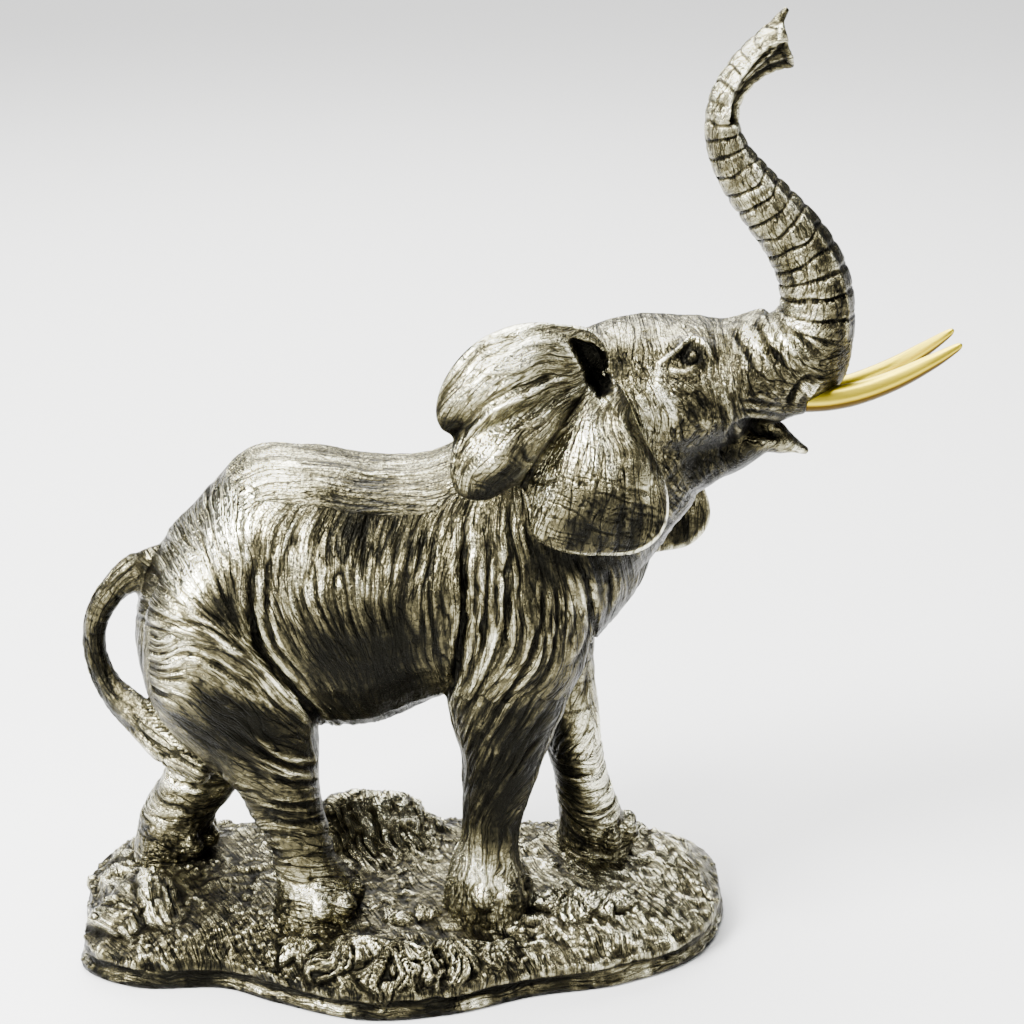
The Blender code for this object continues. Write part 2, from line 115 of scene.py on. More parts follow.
LEFT_TUSK_DROP = 4.5                         # the head leans, so the left side of the face is lower
LEFT_EYE_DROP = 7.0
EYE = (84.2, 196.4)                          # x and z of the right eye, as seen from a little above
RING_START, RING_PITCHES = 20, (6.2, 4.2)    # the trunk's rings: travel to the first, first and last pitch
# where the hide is parted into rear, front and head: a place and the direction toward the front
SHOULDER_CUT = (Vector((16, 0, 121)), Vector((0.992, 0, -0.126)))
NECK_CUT = (Vector((57, 0, 171)), Vector((0.863, 0, 0.506)))
CUT_LAP = 0.12                               # how far each piece runs on past its cut
NECK_MELT = 3                                # how far from the cut the head's carving melts into the body's

# ears: root, turn of the rim about the root, rings from root to rim, points to a span of the rim;
# the head leans, so the left ear hangs lower
EARS = {"ear_right": ((56, -21, 190), 0, 136, 18), "ear_left": ((66, 20, 162), 12, 84, 10)}
EAR_HALF_THICKNESS = 1.7
EAR_HOLLOW = [(50.5, 205.5), (56.5, 200), (59.3, 191)]      # the dark hollow beside the right ear's root
# direction from the root in degrees (0 = +X, 90 = up), reach, and how far the rim stands out
EAR_RIM = [(-45, 20, 10), (-54, 36, 14), (-63, 46, 16), (-74, 50, 17), (-87, 49, 18), (-100, 49, 17),
           (-110, 48, 14), (-117, 41, 10), (-125, 38, 8), (-132, 45, 14), (-141, 49, 17), (-150, 47, 16),
           (-158, 43, 11), (-164, 45, 12), (-172, 45, 14), (176, 42, 14), (160, 36, 12), (145, 29, 9),
           (120, 19, 6), (85, 13, 3), (40, 6, 1), (0, 6, 1), (-30, 12, 6)]
# steps between the lobes of an ear: how far the left side of the run stands over the right one, reach, run
EAR_FOLDS = [
    (3.0, 5.0, [(52, 199), (43, 194), (34, 190), (26, 185.5), (20, 179.5), (14, 173)]),
    (-3.4, 5.0, [(50, 182), (44, 176), (39, 168), (35, 160), (33, 152)]),
    (-1.0, 3.5, [(46, 186), (36, 178), (29, 171)]),
    (0.9, 4.0, [(60, 182), (64, 170), (65, 154)])]
# where an ear is made brighter (plus) or darker (minus): wear, painted highlights on the lobes that face the
# light and painted shade between them; x, z, radius, amount
EAR_WEAR_AND_PAINTED_LIGHT = [(35, 199, 15, 0.9), (20, 192, 9, 0.4), (27, 176, 9, 0.8), (25, 156, 6, -0.6),
              (57, 174, 11, 0.6), (44, 160, 8, 0.3), (34, 164, 4.5, -0.9), (52, 148, 5, -0.5),
              (66, 150, 10, -0.6), (16, 178, 5, -0.5), (58, 158, 6, -0.5), (72, 162, 5, 0.5)]

# ---- wrinkle directions on the hide, drawn from the top down or from the rear forward: runs of x, z --
BODY_STROKES = [
    [(-66, 145), (-53, 129), (-42, 113)], [(-55, 151), (-49, 132), (-42, 114)],
    [(-45, 156), (-44, 132), (-42, 114)], [(-72, 126), (-54, 119), (-43, 112)],
    [(-72, 117), (-58, 119), (-45, 113), (-34, 101)],
    [(-74, 110), (-58, 113), (-46, 108), (-32, 93), (-25, 83)],
    [(-70, 104), (-58, 105), (-44, 97), (-30, 85), (-25, 79)],
    [(-66, 97), (-49, 87), (-40, 79), (-32, 75), (-25, 74)],
    [(-60, 86), (-48, 77), (-38, 72), (-32, 69), (-25, 68)], [(-52, 62), (-36, 60), (-22, 62)],
    [(-48, 48), (-32, 46), (-18, 48)], [(-45, 33), (-30, 31), (-14, 33)], [(-42, 20), (-27, 18), (-12, 20)],
    [(-27, 166), (-39, 142), (-39, 126), (-34, 109), (-24, 88)],
    [(-19, 163), (-25, 142), (-24, 123), (-16, 107), (-9, 88)],
    [(-6, 166), (-10, 139), (-7, 120), (-1, 95)], [(7, 168), (-1, 145), (-6, 126), (-4, 107)],
    [(16, 166), (7, 148), (3, 129), (3, 111), (9, 93)],
    [(19, 157), (13, 137), (13, 120), (16, 106), (15, 95)], [(20, 154), (19, 139), (19, 120), (16, 101)],
    [(24, 151), (25, 126), (23, 111), (16, 91)], [(30, 151), (31, 129), (29, 111), (21, 91)],
    [(38, 139), (39, 126), (38, 111), (28, 95), (19, 82)],
    [(45, 139), (47, 120), (44, 104), (35, 95), (21, 75)], [(51, 139), (56, 126), (56, 114)],
    [(55, 142), (60, 129), (61, 118)], [(64, 142), (67, 129), (65, 120)], [(47, 97), (36, 84), (21, 72)],
    [(45, 86), (35, 72), (22, 60)], [(43, 74), (35, 62), (27, 50)], [(20, 64), (18, 50), (14, 36)],
    [(27, 56), (26, 44), (26, 30)], [(35, 56), (35, 44), (39, 30)]]
# where the body is made brighter (plus) or darker (minus): some wear, painted highlights on the rump, the
# back and the far legs, painted shade on the belly, the near foreleg and under the ear; x, z, radius, amount,
# and for a place on one side only -1 (right) or 1 (left), and for one that faces the front or the rear 1 or
# -1
BODY_WEAR_AND_PAINTED_LIGHT = [
    (-60, 138, 15, 0.25), (-67, 114, 8, 0.7), (-64, 129, 8, 0.7), (-57, 142, 9, 0.7), (-48, 153, 9, 0.6),
    (-36, 163, 9, 0.4), (-12, 150, 11, -0.65), (3, 143, 9, -0.5), (-18, 117, 12, -0.4), (-26, 133, 9, 0.5),
    (-12, 130, 8, 0.35), (-10, 108, 13, -0.7, -1), (6, 116, 12, -0.6, -1), (-3, 97, 12, -0.4, -1),
    (9, 134, 7, -0.3), (-50, 124, 6, -0.9), (-65, 101, 8, 0.6), (-50, 103, 6, 0.5), (-40, 98, 6, 0.6),
    (-32, 92, 4, 0.4), (-43, 87, 10, -0.9, -1), (-53, 83, 8, -0.7, -1), (-55, 97, 9, -0.5, -1),
    (27, 132, 5, 0.35), (38, 139, 7, -0.5), (48, 139, 7, -0.9), (61, 139, 7, -0.9), (44, 122, 7, -0.35),
    (53, 124, 6, 0.6), (61, 118, 5, -0.5), (30, 89, 8, -0.4, -1), (34, 80, 9, -0.7, -1),
    (28, 65, 12, -0.9, -1), (29, 51, 7, -0.5, -1), (24, 35, 9, 0.7, -1), (-26, 28, 9, 0.8, -1),
    (-50, 60, 10, 0.4, -1, -1), (38, 60, 10, 0.3, -1, 1), (58, 60, 26, 1.2, 1, 1),
    (50, 64, 24, -0.9, 1, -1), (-72, 54, 20, 0.4, 1, -1), (-94, 100, 14, -0.6), (-70, 116, 8, -0.2, 0, -1),
    (-67, 131, 8, -0.15, 0, -1), (-59, 148, 8, -0.1, 0, -1), (-50, 134, 5, -0.4), (-35, 55, 9, -0.3, -1)]
# the same on the head: painted shade in the temple, the eye socket and under the jaw, a painted glint on the
# eye, painted highlights on the cheek, the trunk and the tip of the jaw, and some wear
HEAD_WEAR_AND_PAINTED_LIGHT = [
    (75, 206, 10, 0.2), (65, 194, 5, -0.8), (84.3, 196.6, 3.4, -1.6), (84.9, 197.0, 1.1, 0.8),
    (76, 183, 7, 0.8), (73, 172, 7, 0.5), (104, 169, 8, -0.6), (88, 164, 9, -0.4), (104, 246, 18, 0.3),
    (97, 277, 14, 0.5), (102, 203, 3, 0.7), (108.5, 202, 3, 0.7), (115, 203, 4, 0.7), (118, 213, 7, 0.4),
    (119, 187, 3, 0.9), (92, 188, 5, 0.3), (117, 168, 4.5, 1.3), (109, 169, 5, 0.5)]
# wrinkle directions on the head: runs of x, z
HEAD_STROKES = [
    [(61, 208), (63, 199), (62, 192), (64, 178)], [(69, 206), (68, 192), (73, 180), (74, 168)],
    [(74, 205), (75, 200), (77, 194), (76, 190)], [(77, 190), (80, 184), (86, 181), (92, 176)],
    [(89, 203), (91, 195), (93, 188), (97, 180)], [(94, 207), (96, 197), (100, 188), (106, 182)],
    [(103, 207), (108, 197), (116, 186)], [(109, 207), (117, 196), (124, 190)],
    [(84, 184), (81, 174), (84, 162)], [(79, 166), (87, 156), (96, 152)],
    [(94, 184), (96, 179), (94, 171), (96, 162)], [(66, 170), (70, 156), (76, 144)],
    [(60, 160), (62, 148), (66, 138)], [(96, 184), (106, 182), (114, 180)]]
# how much more, or less, the strokes stand out round a place: x, z, radius, share
BOLDNESS = [(36, 118, 26, 0.7), (-4, 96, 24, -0.85), (-36, 96, 16, 0.5), (-58, 84, 12, -0.3),
            (-30, 72, 10, 0.4), (-10, 136, 22, 0.7), (-54, 92, 16, -0.55), (-66, 126, 10, -0.3),
            (28, 48, 14, -0.3)]
# the strokes that fall from an ear's root: runs of x, z
EAR_STROKES = [
    [(46, 208), (30, 204), (18, 192), (12, 180)], [(54, 203), (40, 199), (26, 190), (16, 184)],
    [(52, 196), (40, 196), (28, 192)], [(52, 192), (40, 186), (28, 176), (20, 165)],
    [(52, 190), (42, 180), (34, 170), (26, 160)], [(53, 188), (47, 176), (41, 164), (37, 152)],
    [(55, 186), (51, 172), (46, 158), (43, 146)], [(57, 184), (57, 168), (54, 154), (52, 143)],
    [(60, 183), (63, 170), (63, 157), (62, 144)], [(63, 184), (69, 174), (72, 162), (73, 148)]]

# folds pressed into the hide: side, depth (minus stands out), half width, and the run in x, z
FOLDS = [
    (-1, 1.9, 1.5, [(-40, 152), (-43, 131), (-41, 112), (-30, 96), (-24, 86), (-20, 75)]),
    (-1, 0.8, 1.0, [(-33, 152), (-38, 133), (-37, 115), (-31, 103)]),
    (-1, -1.2, 2.6, [(-60, 121), (-50, 113), (-39, 105), (-29, 93), (-25, 82)]),
    (-1, 0.7, 0.9, [(-74, 117), (-60, 119), (-48, 113), (-40, 106)]),
    (-1, 0.6, 0.9, [(-73, 107), (-60, 109), (-46, 101), (-33, 90)]),
    (-1, 1.2, 1.1, [(-50, 86), (-40, 77), (-32, 72.5), (-22, 71.5)]),
    (-1, -0.8, 1.4, [(-48, 89), (-40, 80), (-32, 75.5), (-22, 74.5)]),
    (-1, 0.9, 0.9, [(-42, 72), (-32, 67.5), (-22, 66)]),
    (-1, 0.6, 0.8, [(-44, 63), (-34, 60), (-22, 60)]),
    (-1, 0.6, 0.8, [(-42, 56), (-32, 54), (-20, 55)]),
    (-1, 2.0, 1.3, [(20, 160), (19, 139), (19, 120), (16, 101), (11, 88)]),
    (-1, 0.8, 0.9, [(15, 160), (10, 142), (9, 126), (12, 108)]),
    (-1, 0.9, 0.9, [(26, 152), (26, 130), (24, 111), (16, 93)]),
    (-1, 1.2, 1.1, [(34, 146), (32, 127), (30, 111), (22, 96), (17, 88)]),
    (-1, 1.0, 1.0, [(41, 144), (42, 123), (38, 107), (30, 93), (20, 78)]),
    (-1, 0.6, 0.8, [(46, 138), (47, 122), (44, 106), (37, 94)]),
    (-1, 1.5, 1.2, [(50, 144), (56, 127), (56, 113), (50, 104)]),
    (-1, 1.0, 1.0, [(55, 142), (62, 131), (61, 118)]),
    (1, 1.6, 1.6, [(-42, 150), (-46, 126), (-43, 108), (-34, 94)]),
    (1, 0.8, 1.2, [(-33, 152), (-37, 133), (-34, 113)]),
    (1, 1.6, 1.5, [(20, 158), (17, 130), (15, 106), (12, 90)]),
    (1, 1.0, 1.3, [(31, 148), (33, 126), (32, 106)]),
    (1, 1.0, 1.3, [(40, 146), (46, 126), (42, 108)]),
    (1, 1.0, 1.3, [(54, 142), (60, 128), (58, 116)])]
# folds pressed into both sides of the face: depth (minus stands out), half width, and the run in x, z
FACE_FOLDS = [
    (-1.5, 0.7, [(74, 193.5), (76.5, 195.4), (80.7, 198.7), (84.4, 201.7), (87.3, 200.2), (89.5, 197.5),
                 (91, 194)]),
    (-0.9, 0.6, [(77.5, 192.6), (80.5, 191.9), (83.6, 192.4), (88.7, 195.5)]),
    (0.3, 0.6, [(76.5, 190.6), (83, 189.4), (89, 192)]),
    (-0.12, 0.7, [(76, 188.5), (82, 187), (88.5, 188.8), (90.5, 192)]),
    (0.25, 0.6, [(76, 186.5), (82, 184.5), (89, 186.5)]), (0.9, 1.0, [(96, 207), (100, 199), (104, 191)]),
    (-1.2, 1.2, [(99.5, 208), (103.5, 200), (108, 192)]),
    (1.2, 1.0, [(103, 209), (107.5, 200), (113, 192)]), (-1.3, 1.3, [(107, 210), (111.5, 202), (117, 195)]),
    (1.3, 1.0, [(111, 211), (116, 203), (122, 197)]), (0.6, 0.6, [(97, 183.5), (106, 182.6), (114, 181)]),
    (0.6, 0.6, [(97, 180.5), (106, 179.6), (114, 178)]), (-0.9, 1.0, [(93, 186), (95.5, 180), (95, 172)]),
    (4.4, 2.0, [(97, 175.6), (106, 174.6), (116, 173.2)]), (2.0, 1.6, [(97.5, 177), (97, 170)]),
    (-1.1, 0.7, [(115, 180), (115.5, 184), (117.5, 187), (119, 185.5), (121.5, 189), (125, 189.5)]),
    (1.2, 1.0, [(113, 180), (114, 185), (117, 189.5), (121, 191)])]

GROUND_OUTLINE = [(-101, -8), (-99, -27), (-81, -38), (-56, -38), (-38, -47), (-12, -57), (14, -54),
                  (40, -43), (66, -36), (90, -20), (100.5, 6), (99, 33), (84, 47), (48, 51), (8, 53),
                  (-40, 53), (-78, 47), (-103, 27)]
GROUND_LEVEL, GROUND_SLOPE, RIM_HEIGHT = 20.5, 0.05, 8.5
# the ground's edge from the top down: share of the outline, height; a groove runs round it
RIM_PROFILE = [(0.99, 6.4), (0.978, 4.2), (0.985, 3.0), (0.999, 1.8), (0.997, 0.6), (0.985, 0.0)]
RIM_GROOVE = 5.4
GROUND_RINGS = 40
# x, y, height added, half length along x, half length along y
MOUNDS = [(-17, 21, 14, 14, 11), (-1, 27, 9, 11, 9), (-27, 15, 6, 8, 10), (-86, -10, 4, 11, 12),
          (56, -14, 3, 13, 8), (0, -43, 4, 24, 8), (88, 20, 3, 9, 16), (-84, 30, 3, 14, 12),
          (62, 36, 2, 16, 12)]
# tufts of leaves on the ground: x, y, heading of the middle leaf in degrees, reach, leaves
TUFTS = [(-16, -38, -85, 15, 9), (0, -41, -80, 15, 10), (14, -38, -60, 15, 9), (-6, -31, 60, 9, 7),
         (8, -29, 100, 9, 7), (26, -36, -50, 12, 8), (52, -12, -95, 13, 10), (63, -10, -65, 12, 9),
         (42, -14, -120, 9, 7), (-30, -34, -110, 10, 7), (70, 34, 60, 11, 7), (-30, 42, 95, 11, 8),
         (14, 44, 80, 12, 8), (-62, 38, 120, 10, 7)]
# wedges of layered rock: x, y, heading of the layers in degrees, length, width, height
WEDGES = [(-84, -8, -62, 15, 8, 6), (-76, -16, -72, 13, 7, 5), (-89, -20, -45, 11, 6, 4),
          (-92, 6, -80, 9, 7, 3), (-17, 14, -52, 18, 12, 2), (-2, 20, -60, 14, 10, 2),
          (80, -12, -30, 11, 6, 2), (86, 22, -70, 12, 8, 2), (-86, 30, 60, 12, 8, 3)]


# ---- numbers --------------------------------------------------------------------------------------
def smooth_rows(rows, per_span, closed=False):
    """Rows of numbers resampled along a smooth curve that runs through every one of them."""
    rows = np.array(rows, float)
    if closed:
        ends = np.vstack([rows[-1], rows, rows[0], rows[1]])
    else:
        ends = np.vstack([2 * rows[0] - rows[1], rows, 2 * rows[-1] - rows[-2]])
    made = []
    for i in range(1, len(ends) - 2):
        a, b, c, d = ends[i - 1:i + 3]
        for t in np.arange(per_span) / per_span:
            made.append(0.5 * (2 * b + (c - a) * t + (2 * a - 5 * b + 4 * c - d) * t ** 2
                               + (3 * b - a - 3 * c + d) * t ** 3))
    return np.array(made if closed else made + [rows[-1]])


def columns(*values):
    """Numbers or rows of equal length, side by side."""
    return np.column_stack(values)


def unit(vectors):
    """Each row of vectors at length one."""
    return vectors / np.maximum(np.linalg.norm(vectors, axis=-1, keepdims=True), 1e-12)


def ramp(value, low, high):
    """0 below low, 1 above high, and a smooth rise between."""
    t = np.clip((value - low) / (high - low), 0, 1)
    return t * t * (3 - 2 * t)


def bump(value, width):
    """A bell of height 1 at zero."""
    return np.exp(-(value / width) ** 2)


def hashed(cells, seed):
    """A repeatable number from -1 to 1 for each cell of whole numbers."""
    key = (cells[:, 0] * 374761393 + cells[:, 1] * 668265263 + cells[:, 2] * 2246822519 + seed * 1274126177)
    key = ((key & 0xFFFFFFFF) ^ ((key & 0xFFFFFFFF) >> 13)) * 1274126177 & 0xFFFFFFFF
    return ((key ^ (key >> 16)) & 0xFFFF) / 32767.5 - 1


def noise(points, seed):
    """Smooth noise from -1 to 1 whose cells have size one."""
    base = np.floor(points)
    part = points - base
    fade = part * part * (3 - 2 * part)
    base = base.astype(np.int64)
    total = np.zeros(len(points))
    for corner in np.ndindex(2, 2, 2):
        weight = np.prod(np.where(corner, fade, 1 - fade), axis=1)
        total += weight * hashed(base + corner, seed)
    return total


def cell_edge(points, seed):
    """How far each point is from the border of scattered cells of size one, and from its cell's middle."""
    base = np.floor(points).astype(np.int64)
    first = np.full(len(points), 9.0)
    second = first.copy()
    for corner in np.ndindex(3, 3, 3):
        cell = base + corner - 1
        middle = cell + 0.5 + 0.42 * columns(*(hashed(cell, seed + k) for k in range(3)))
        distance = np.linalg.norm(points - middle, axis=1)
        second = np.minimum(second, np.maximum(first, distance))
        first = np.minimum(first, distance)
    return second - first, first


def run_distance(flat, run):
    """How far each x, z lies from a smooth run, which side of it (1 on its left), and how far along it."""
    line = smooth_rows(run, per_span=5)
    nearest = np.full(len(flat), 1e9)
    side, along = np.ones((2, len(flat)))
    for i, (a, b) in enumerate(zip(line, line[1:])):
        step = b - a
        share = np.clip(((flat - a) @ step) / (step @ step), 0, 1)
        away = flat - a - share[:, None] * step
        distance = np.linalg.norm(away, axis=1)
        closer = distance < nearest
        nearest = np.where(closer, distance, nearest)
        side = np.where(closer, np.sign(away[:, 1] * step[0] - away[:, 0] * step[1]), side)
        along = np.where(closer, (i + share) / (len(line) - 1), along)
    return nearest, side, along


def fold_profile(flat, run, width):
    """A fold along a run, 1 in its middle and fading toward both ends."""
    distance, _, along = run_distance(flat, run)
    return bump(distance, width) * ramp(along, -0.02, 0.3) * ramp(1 - along, -0.02, 0.3)


def stroke_field(runs, reach=14.0):
    """A height over x and z whose contours run along the given strokes, about one unit to the millimetre."""
    spots, along = [], []
    for run in runs:
        line = smooth_rows(run, per_span=2)
        spots.append((line[1:] + line[:-1]) / 2)
        along.append(unit(np.diff(line, axis=0)))
    spots, along = np.vstack(spots), np.vstack(along)
    across = columns(along[:, 1], -along[:, 0])
    apart = spots[:, None, :] - spots[None, :, :]
    far = np.sqrt((apart ** 2).sum(axis=2) + reach ** 2)
    slope = apart / far[:, :, None]
    level = np.tile(np.eye(2), (len(spots), 1, 1))
    slope = np.concatenate([slope, level.transpose(0, 2, 1)], axis=1)
    rows = [np.einsum("ijk,ik->ij", slope, along) * 3, np.einsum("ijk,ik->ij", slope, across),
            np.eye(len(spots), len(spots) + 2) * 0.05]
    aims = np.concatenate([np.zeros(len(spots)), np.ones(len(spots)), np.zeros(len(spots))])
    weights = np.linalg.lstsq(np.vstack(rows), aims, rcond=None)[0]

    def height(flat):
        total = flat @ weights[-2:]
        for spot, weight in zip(spots, weights):
            total += weight * np.sqrt(((flat - spot) ** 2).sum(axis=1) + reach ** 2)
        return total
    return height


def flow_noise(flow, points, pitch, length, seed):
    """Noise that is drawn out along the contours of a flow."""
    return noise(columns(flow / pitch, points[:, 0] / length, points[:, 2] / length), seed)


def strokes(*flow_and_seed):
    """Long ridges along the contours of a flow: 0 in the groove and 1 on the ridge."""
    return ramp(flow_noise(*flow_and_seed), -0.4, 0.4)


def furrows(*flow_and_seed):
    """Rounded ridges that taper at both ends between thin grooves: 0 in the groove and 1 on the ridge."""
    return ramp(np.abs(flow_noise(*flow_and_seed)), -0.06, 0.38)


# ---- solids ---------------------------------------------------------------------------------------
def bridge_rings(bm, rings):
    """Join equal rings of points into one closed skin with a flat fan at each end."""
    loops = [[bm.verts.new(Vector(point)) for point in ring] for ring in rings]
    count = len(loops[0])
    for low, high in zip(loops, loops[1:]):
        for i in range(count):
            j = (i + 1) % count
            bm.faces.new((low[i], low[j], high[j], high[i]))
    bm.faces.new(list(reversed(loops[0])))
    bm.faces.new(loops[-1])


def add_limb(bm, stations, sides=28, upright=False, per_span=5):
    """A closed loft along x, y, z with oval sections set square to its path, or all square to +X."""
    rows = smooth_rows(stations, per_span)
    path = rows[:, :3]
    along = np.tile([1.0, 0.0, 0.0], (len(rows), 1)) if upright else unit(np.gradient(path, axis=0))
    across = unit(np.array([0.0, 1.0, 0.0]) - along * along[:, 1:2])
    deep = np.cross(along, across)
    turn = np.linspace(0, 2 * math.pi, sides, endpoint=False)
    rings = [path[i] + np.outer(np.cos(turn), across[i]) * rows[i, 3]
             + np.outer(np.sin(turn), deep[i]) * rows[i, 4] for i in range(len(rows))]
    bridge_rings(bm, rings)


def add_ball(bm, centre, half_sizes, rows=12):
    """An egg of muscle, bone or nail."""
    shape = Matrix.Translation(Vector(centre)) @ Matrix.Diagonal((*half_sizes, 1))
    bmesh.ops.create_uvsphere(bm, u_segments=rows * 2, v_segments=rows, radius=1, matrix=shape)


def add_toes(bm, foot, angle, count=4, reach=11.5):
    """The toenails round the front of a foot."""
    for turn in np.linspace(-62, 62, count):
        heading = math.radians(angle + turn)
        place = (foot[0] + reach * math.cos(heading), foot[1] + reach * math.sin(heading), foot[2])
        add_ball(bm, place, (3.6, 3.6, 4.2))


def mesh_object(name, bm, turn_out=True):
    """A finished bmesh as an object in the scene, still in the tables' millimetres."""
    if turn_out:
        bmesh.ops.recalc_face_normals(bm, faces=bm.faces)
    mesh = bpy.data.meshes.new(name)
    bm.to_mesh(mesh)
    bm.free()
    made = bpy.data.objects.new(name, mesh)
    bpy.context.scene.collection.objects.link(made)
    return made


def deselect_all():
    """Deselect every object."""
    for made in bpy.context.selected_objects:
        made.select_set(False)


def apply_modifiers(made):
    """Apply every modifier of an object, top to bottom."""
    deselect_all()
    made.select_set(True)
    bpy.context.view_layer.objects.active = made
    for modifier in list(made.modifiers):
        bpy.ops.object.modifier_apply(modifier=modifier.name)
    made.select_set(False)


def fuse(made, voxel, softening):
    """Fuse the overlapping forms of an object into one skin of small square faces, and soften it."""
    remesh = made.modifiers.new("fuse", "REMESH")
    remesh.mode = "VOXEL"
    remesh.voxel_size = voxel
    soften = made.modifiers.new("soften", "SMOOTH")
    soften.iterations = softening
    apply_modifiers(made)


def read(mesh, kind="co"):
    """The places or the normals of a mesh's points."""
    values = np.empty(len(mesh.vertices) * 3)
    mesh.vertices.foreach_get(kind, values)
    return values.reshape(-1, 3)


def write(mesh, points):
    """Put a mesh's points in new places."""
    mesh.vertices.foreach_set("co", points.ravel())
    mesh.update()


def blurred(mesh, values, rounds):
    """Values averaged with their neighbours along the edges, a number of times."""
    ends = np.empty(len(mesh.edges) * 2, np.int32)
    mesh.edges.foreach_get("vertices", ends)
    a, b = ends.reshape(-1, 2).T
    count = len(mesh.vertices)
    near = np.maximum(np.bincount(a, minlength=count) + np.bincount(b, minlength=count), 1)
    for _ in range(rounds):
        total = np.bincount(a, values[b], count) + np.bincount(b, values[a], count)
        values = 0.4 * values + 0.6 * total / near
    return values


def note(mesh, name, values):
    """Keep a number, or a vector, at each point for the materials to read."""
    kind = "FLOAT" if values.ndim == 1 else "FLOAT_VECTOR"
    attribute = mesh.attributes.new(name, kind, "POINT")
    field = "value" if values.ndim == 1 else "vector"
    attribute.data.foreach_set(field, values.astype(np.float32).ravel())


def carve(made, relief, wear_and_painted_light):
    """Raise a surface by its relief and keep what the patina needs, with its wear and painted light and
    shade.
    """
    mesh = made.data
    points, facing = read(mesh), read(mesh, "normal")
    smooth_facing = unit(columns(*(blurred(mesh, axis, rounds=10) for axis in facing.T)))
    height, flow = relief(points, smooth_facing)
    write(mesh, points + smooth_facing * height[:, None])
    note_patina(mesh, height, flow, smooth_facing, points, wear_and_painted_light(points, smooth_facing))


def ahead_of_neck(points):
    """How far each place lies in front of the cut through the neck."""
    place, facing = NECK_CUT
    return (points - np.array(place)) @ np.array(facing)


def spots_of_wear_and_painted_light(flat, table):
    """How much brighter or darker each x, z is made by the places of a table: wear and painted light and
    shade.
    """
    total = np.zeros(len(flat))
    for x, z, radius, amount in table:
        total += amount * bump(np.hypot(flat[:, 0] - x, flat[:, 1] - z), radius)
    return total


def skin_wear_and_painted_light(points, facing, flat, table):
    """How much brighter a skin is made by wear and painted light and shade, side by side and by the way it
    faces.
    """
    total = np.zeros(len(points))
    for x, z, radius, amount, *only in table:
        side, lean = (*only, 0, 0)[:2]
        share = ramp(points[:, 1] * side, -2, 2) if side else 1
        turned = ramp(facing[:, 0] * lean, -0.2, 0.5) if lean else 1
        total += share * turned * spots_of_wear_and_painted_light(flat, [(x, z, radius, amount)])
    return total


def hide_wear_and_painted_light(points, facing):
    """Wear and painted light and shade of the whole hide, with the head's and the body's melted together."""
    head = ramp(ahead_of_neck(points), -NECK_MELT, NECK_MELT)
    body_part = skin_wear_and_painted_light(points, facing, slanted(points, BODY_OUT), BODY_WEAR_AND_PAINTED_LIGHT)
    head_part = skin_wear_and_painted_light(points, facing, face_places(points), HEAD_WEAR_AND_PAINTED_LIGHT)
    return body_part * (1 - head) + head_part * head


def note_patina(mesh, height, flow, facing, points, wear_and_painted_light):
    """Keep how far a place stands out, its wear with painted light and shade, and its strokes' way."""
    fine = blurred(mesh, height, rounds=12)
    wide = blurred(mesh, fine, rounds=70)
    crest = np.tanh((height - fine) / 0.2) * 0.8 + np.tanh((fine - wide) / 0.7) * 0.45
    note(mesh, "crest", crest)
    # painted light: places facing up are made brighter, and those facing the rear a little brighter, as if
    # lit from above and the rear
    note(mesh, "wear_and_painted_light", wear_and_painted_light + 0.42 * facing[:, 2] - 0.16 * facing[:, 0])
    neck = NECK_CUT[0]
    shorter = 1 + 1.4 * ramp(ahead_of_neck(points), -10, 30) * ramp(-np.abs(points[:, 1]), -26, -20)
    note(mesh, "flow", columns(flow, (points[:, 0] - neck.x) * shorter, (points[:, 2] - neck.z) * shorter))


def kept_side(made, name, planes):
    """A copy of a mesh cut down to the side that every plane faces, still open at the cuts."""
    bm = bmesh.new()
    bm.from_mesh(made.data)
    for place, facing in planes:
        everything = bm.verts[:] + bm.edges[:] + bm.faces[:]
        bmesh.ops.bisect_plane(bm, geom=everything, plane_co=place, plane_no=facing, clear_inner=True)
    return mesh_object(name, bm, turn_out=False)


def close_cuts(made):
    """Close the open ends of a mesh with flat caps whose rims stay crisp."""
    bm = bmesh.new()
    bm.from_mesh(made.data)
    rim = [edge for edge in bm.edges if edge.is_boundary]
    for edge in rim:
        edge.smooth = False
    bmesh.ops.holes_fill(bm, edges=rim, sides=0)
    bm.to_mesh(made.data)
    bm.free()


def thin(made, triangles):
    """Thin a mesh to a number of triangles, where it has more."""
    made.data.calc_loop_triangles()
    have = len(made.data.loop_triangles)
    if have > triangles:
        modifier = made.modifiers.new("thin", "DECIMATE")
        modifier.ratio = triangles / have
        apply_modifiers(made)


def finish_piece(made, material, slot, *nodes):
    """Scale a piece from millimetres to its place in the frame, shade it, and tell the frame about it."""
    made.data.transform(Matrix.Diagonal((MM, MM, MM, 1)))
    made.data.shade_smooth()
    made.data.materials.clear()
    made.data.materials.append(material)
    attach(made, "root")
    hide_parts(*nodes)


# ---- the hide -------------------------------------------------------------------------------------
BODY_FLOW = stroke_field(BODY_STROKES)
HEAD_FLOW = stroke_field(HEAD_STROKES)
EAR_FLOW = stroke_field(EAR_STROKES)
RUMP_FAN = (-42, 108)                        # where the strokes of the rump run together
SPINE_HALF_WIDTH = 9.5                       # from the middle of the back to the ridge along its edge
BLOCK_PITCH = 7.5                            # between the level creases of the left legs
VIEW_SLOPE = 0.364                           # the strokes are drawn as they look from a little above,
BODY_OUT, FACE_OUT, EAR_OUT = 34, 22, 36     # on a sheet this far out from the middle


def leg_shift(z, near, far):
    """How much further forward the far leg is than the near one at a height."""
    near, far = np.array(near)[::-1], np.array(far)[::-1]
    return np.interp(z, far[:, 2], far[:, 0]) - np.interp(z, near[:, 2], near[:, 0])


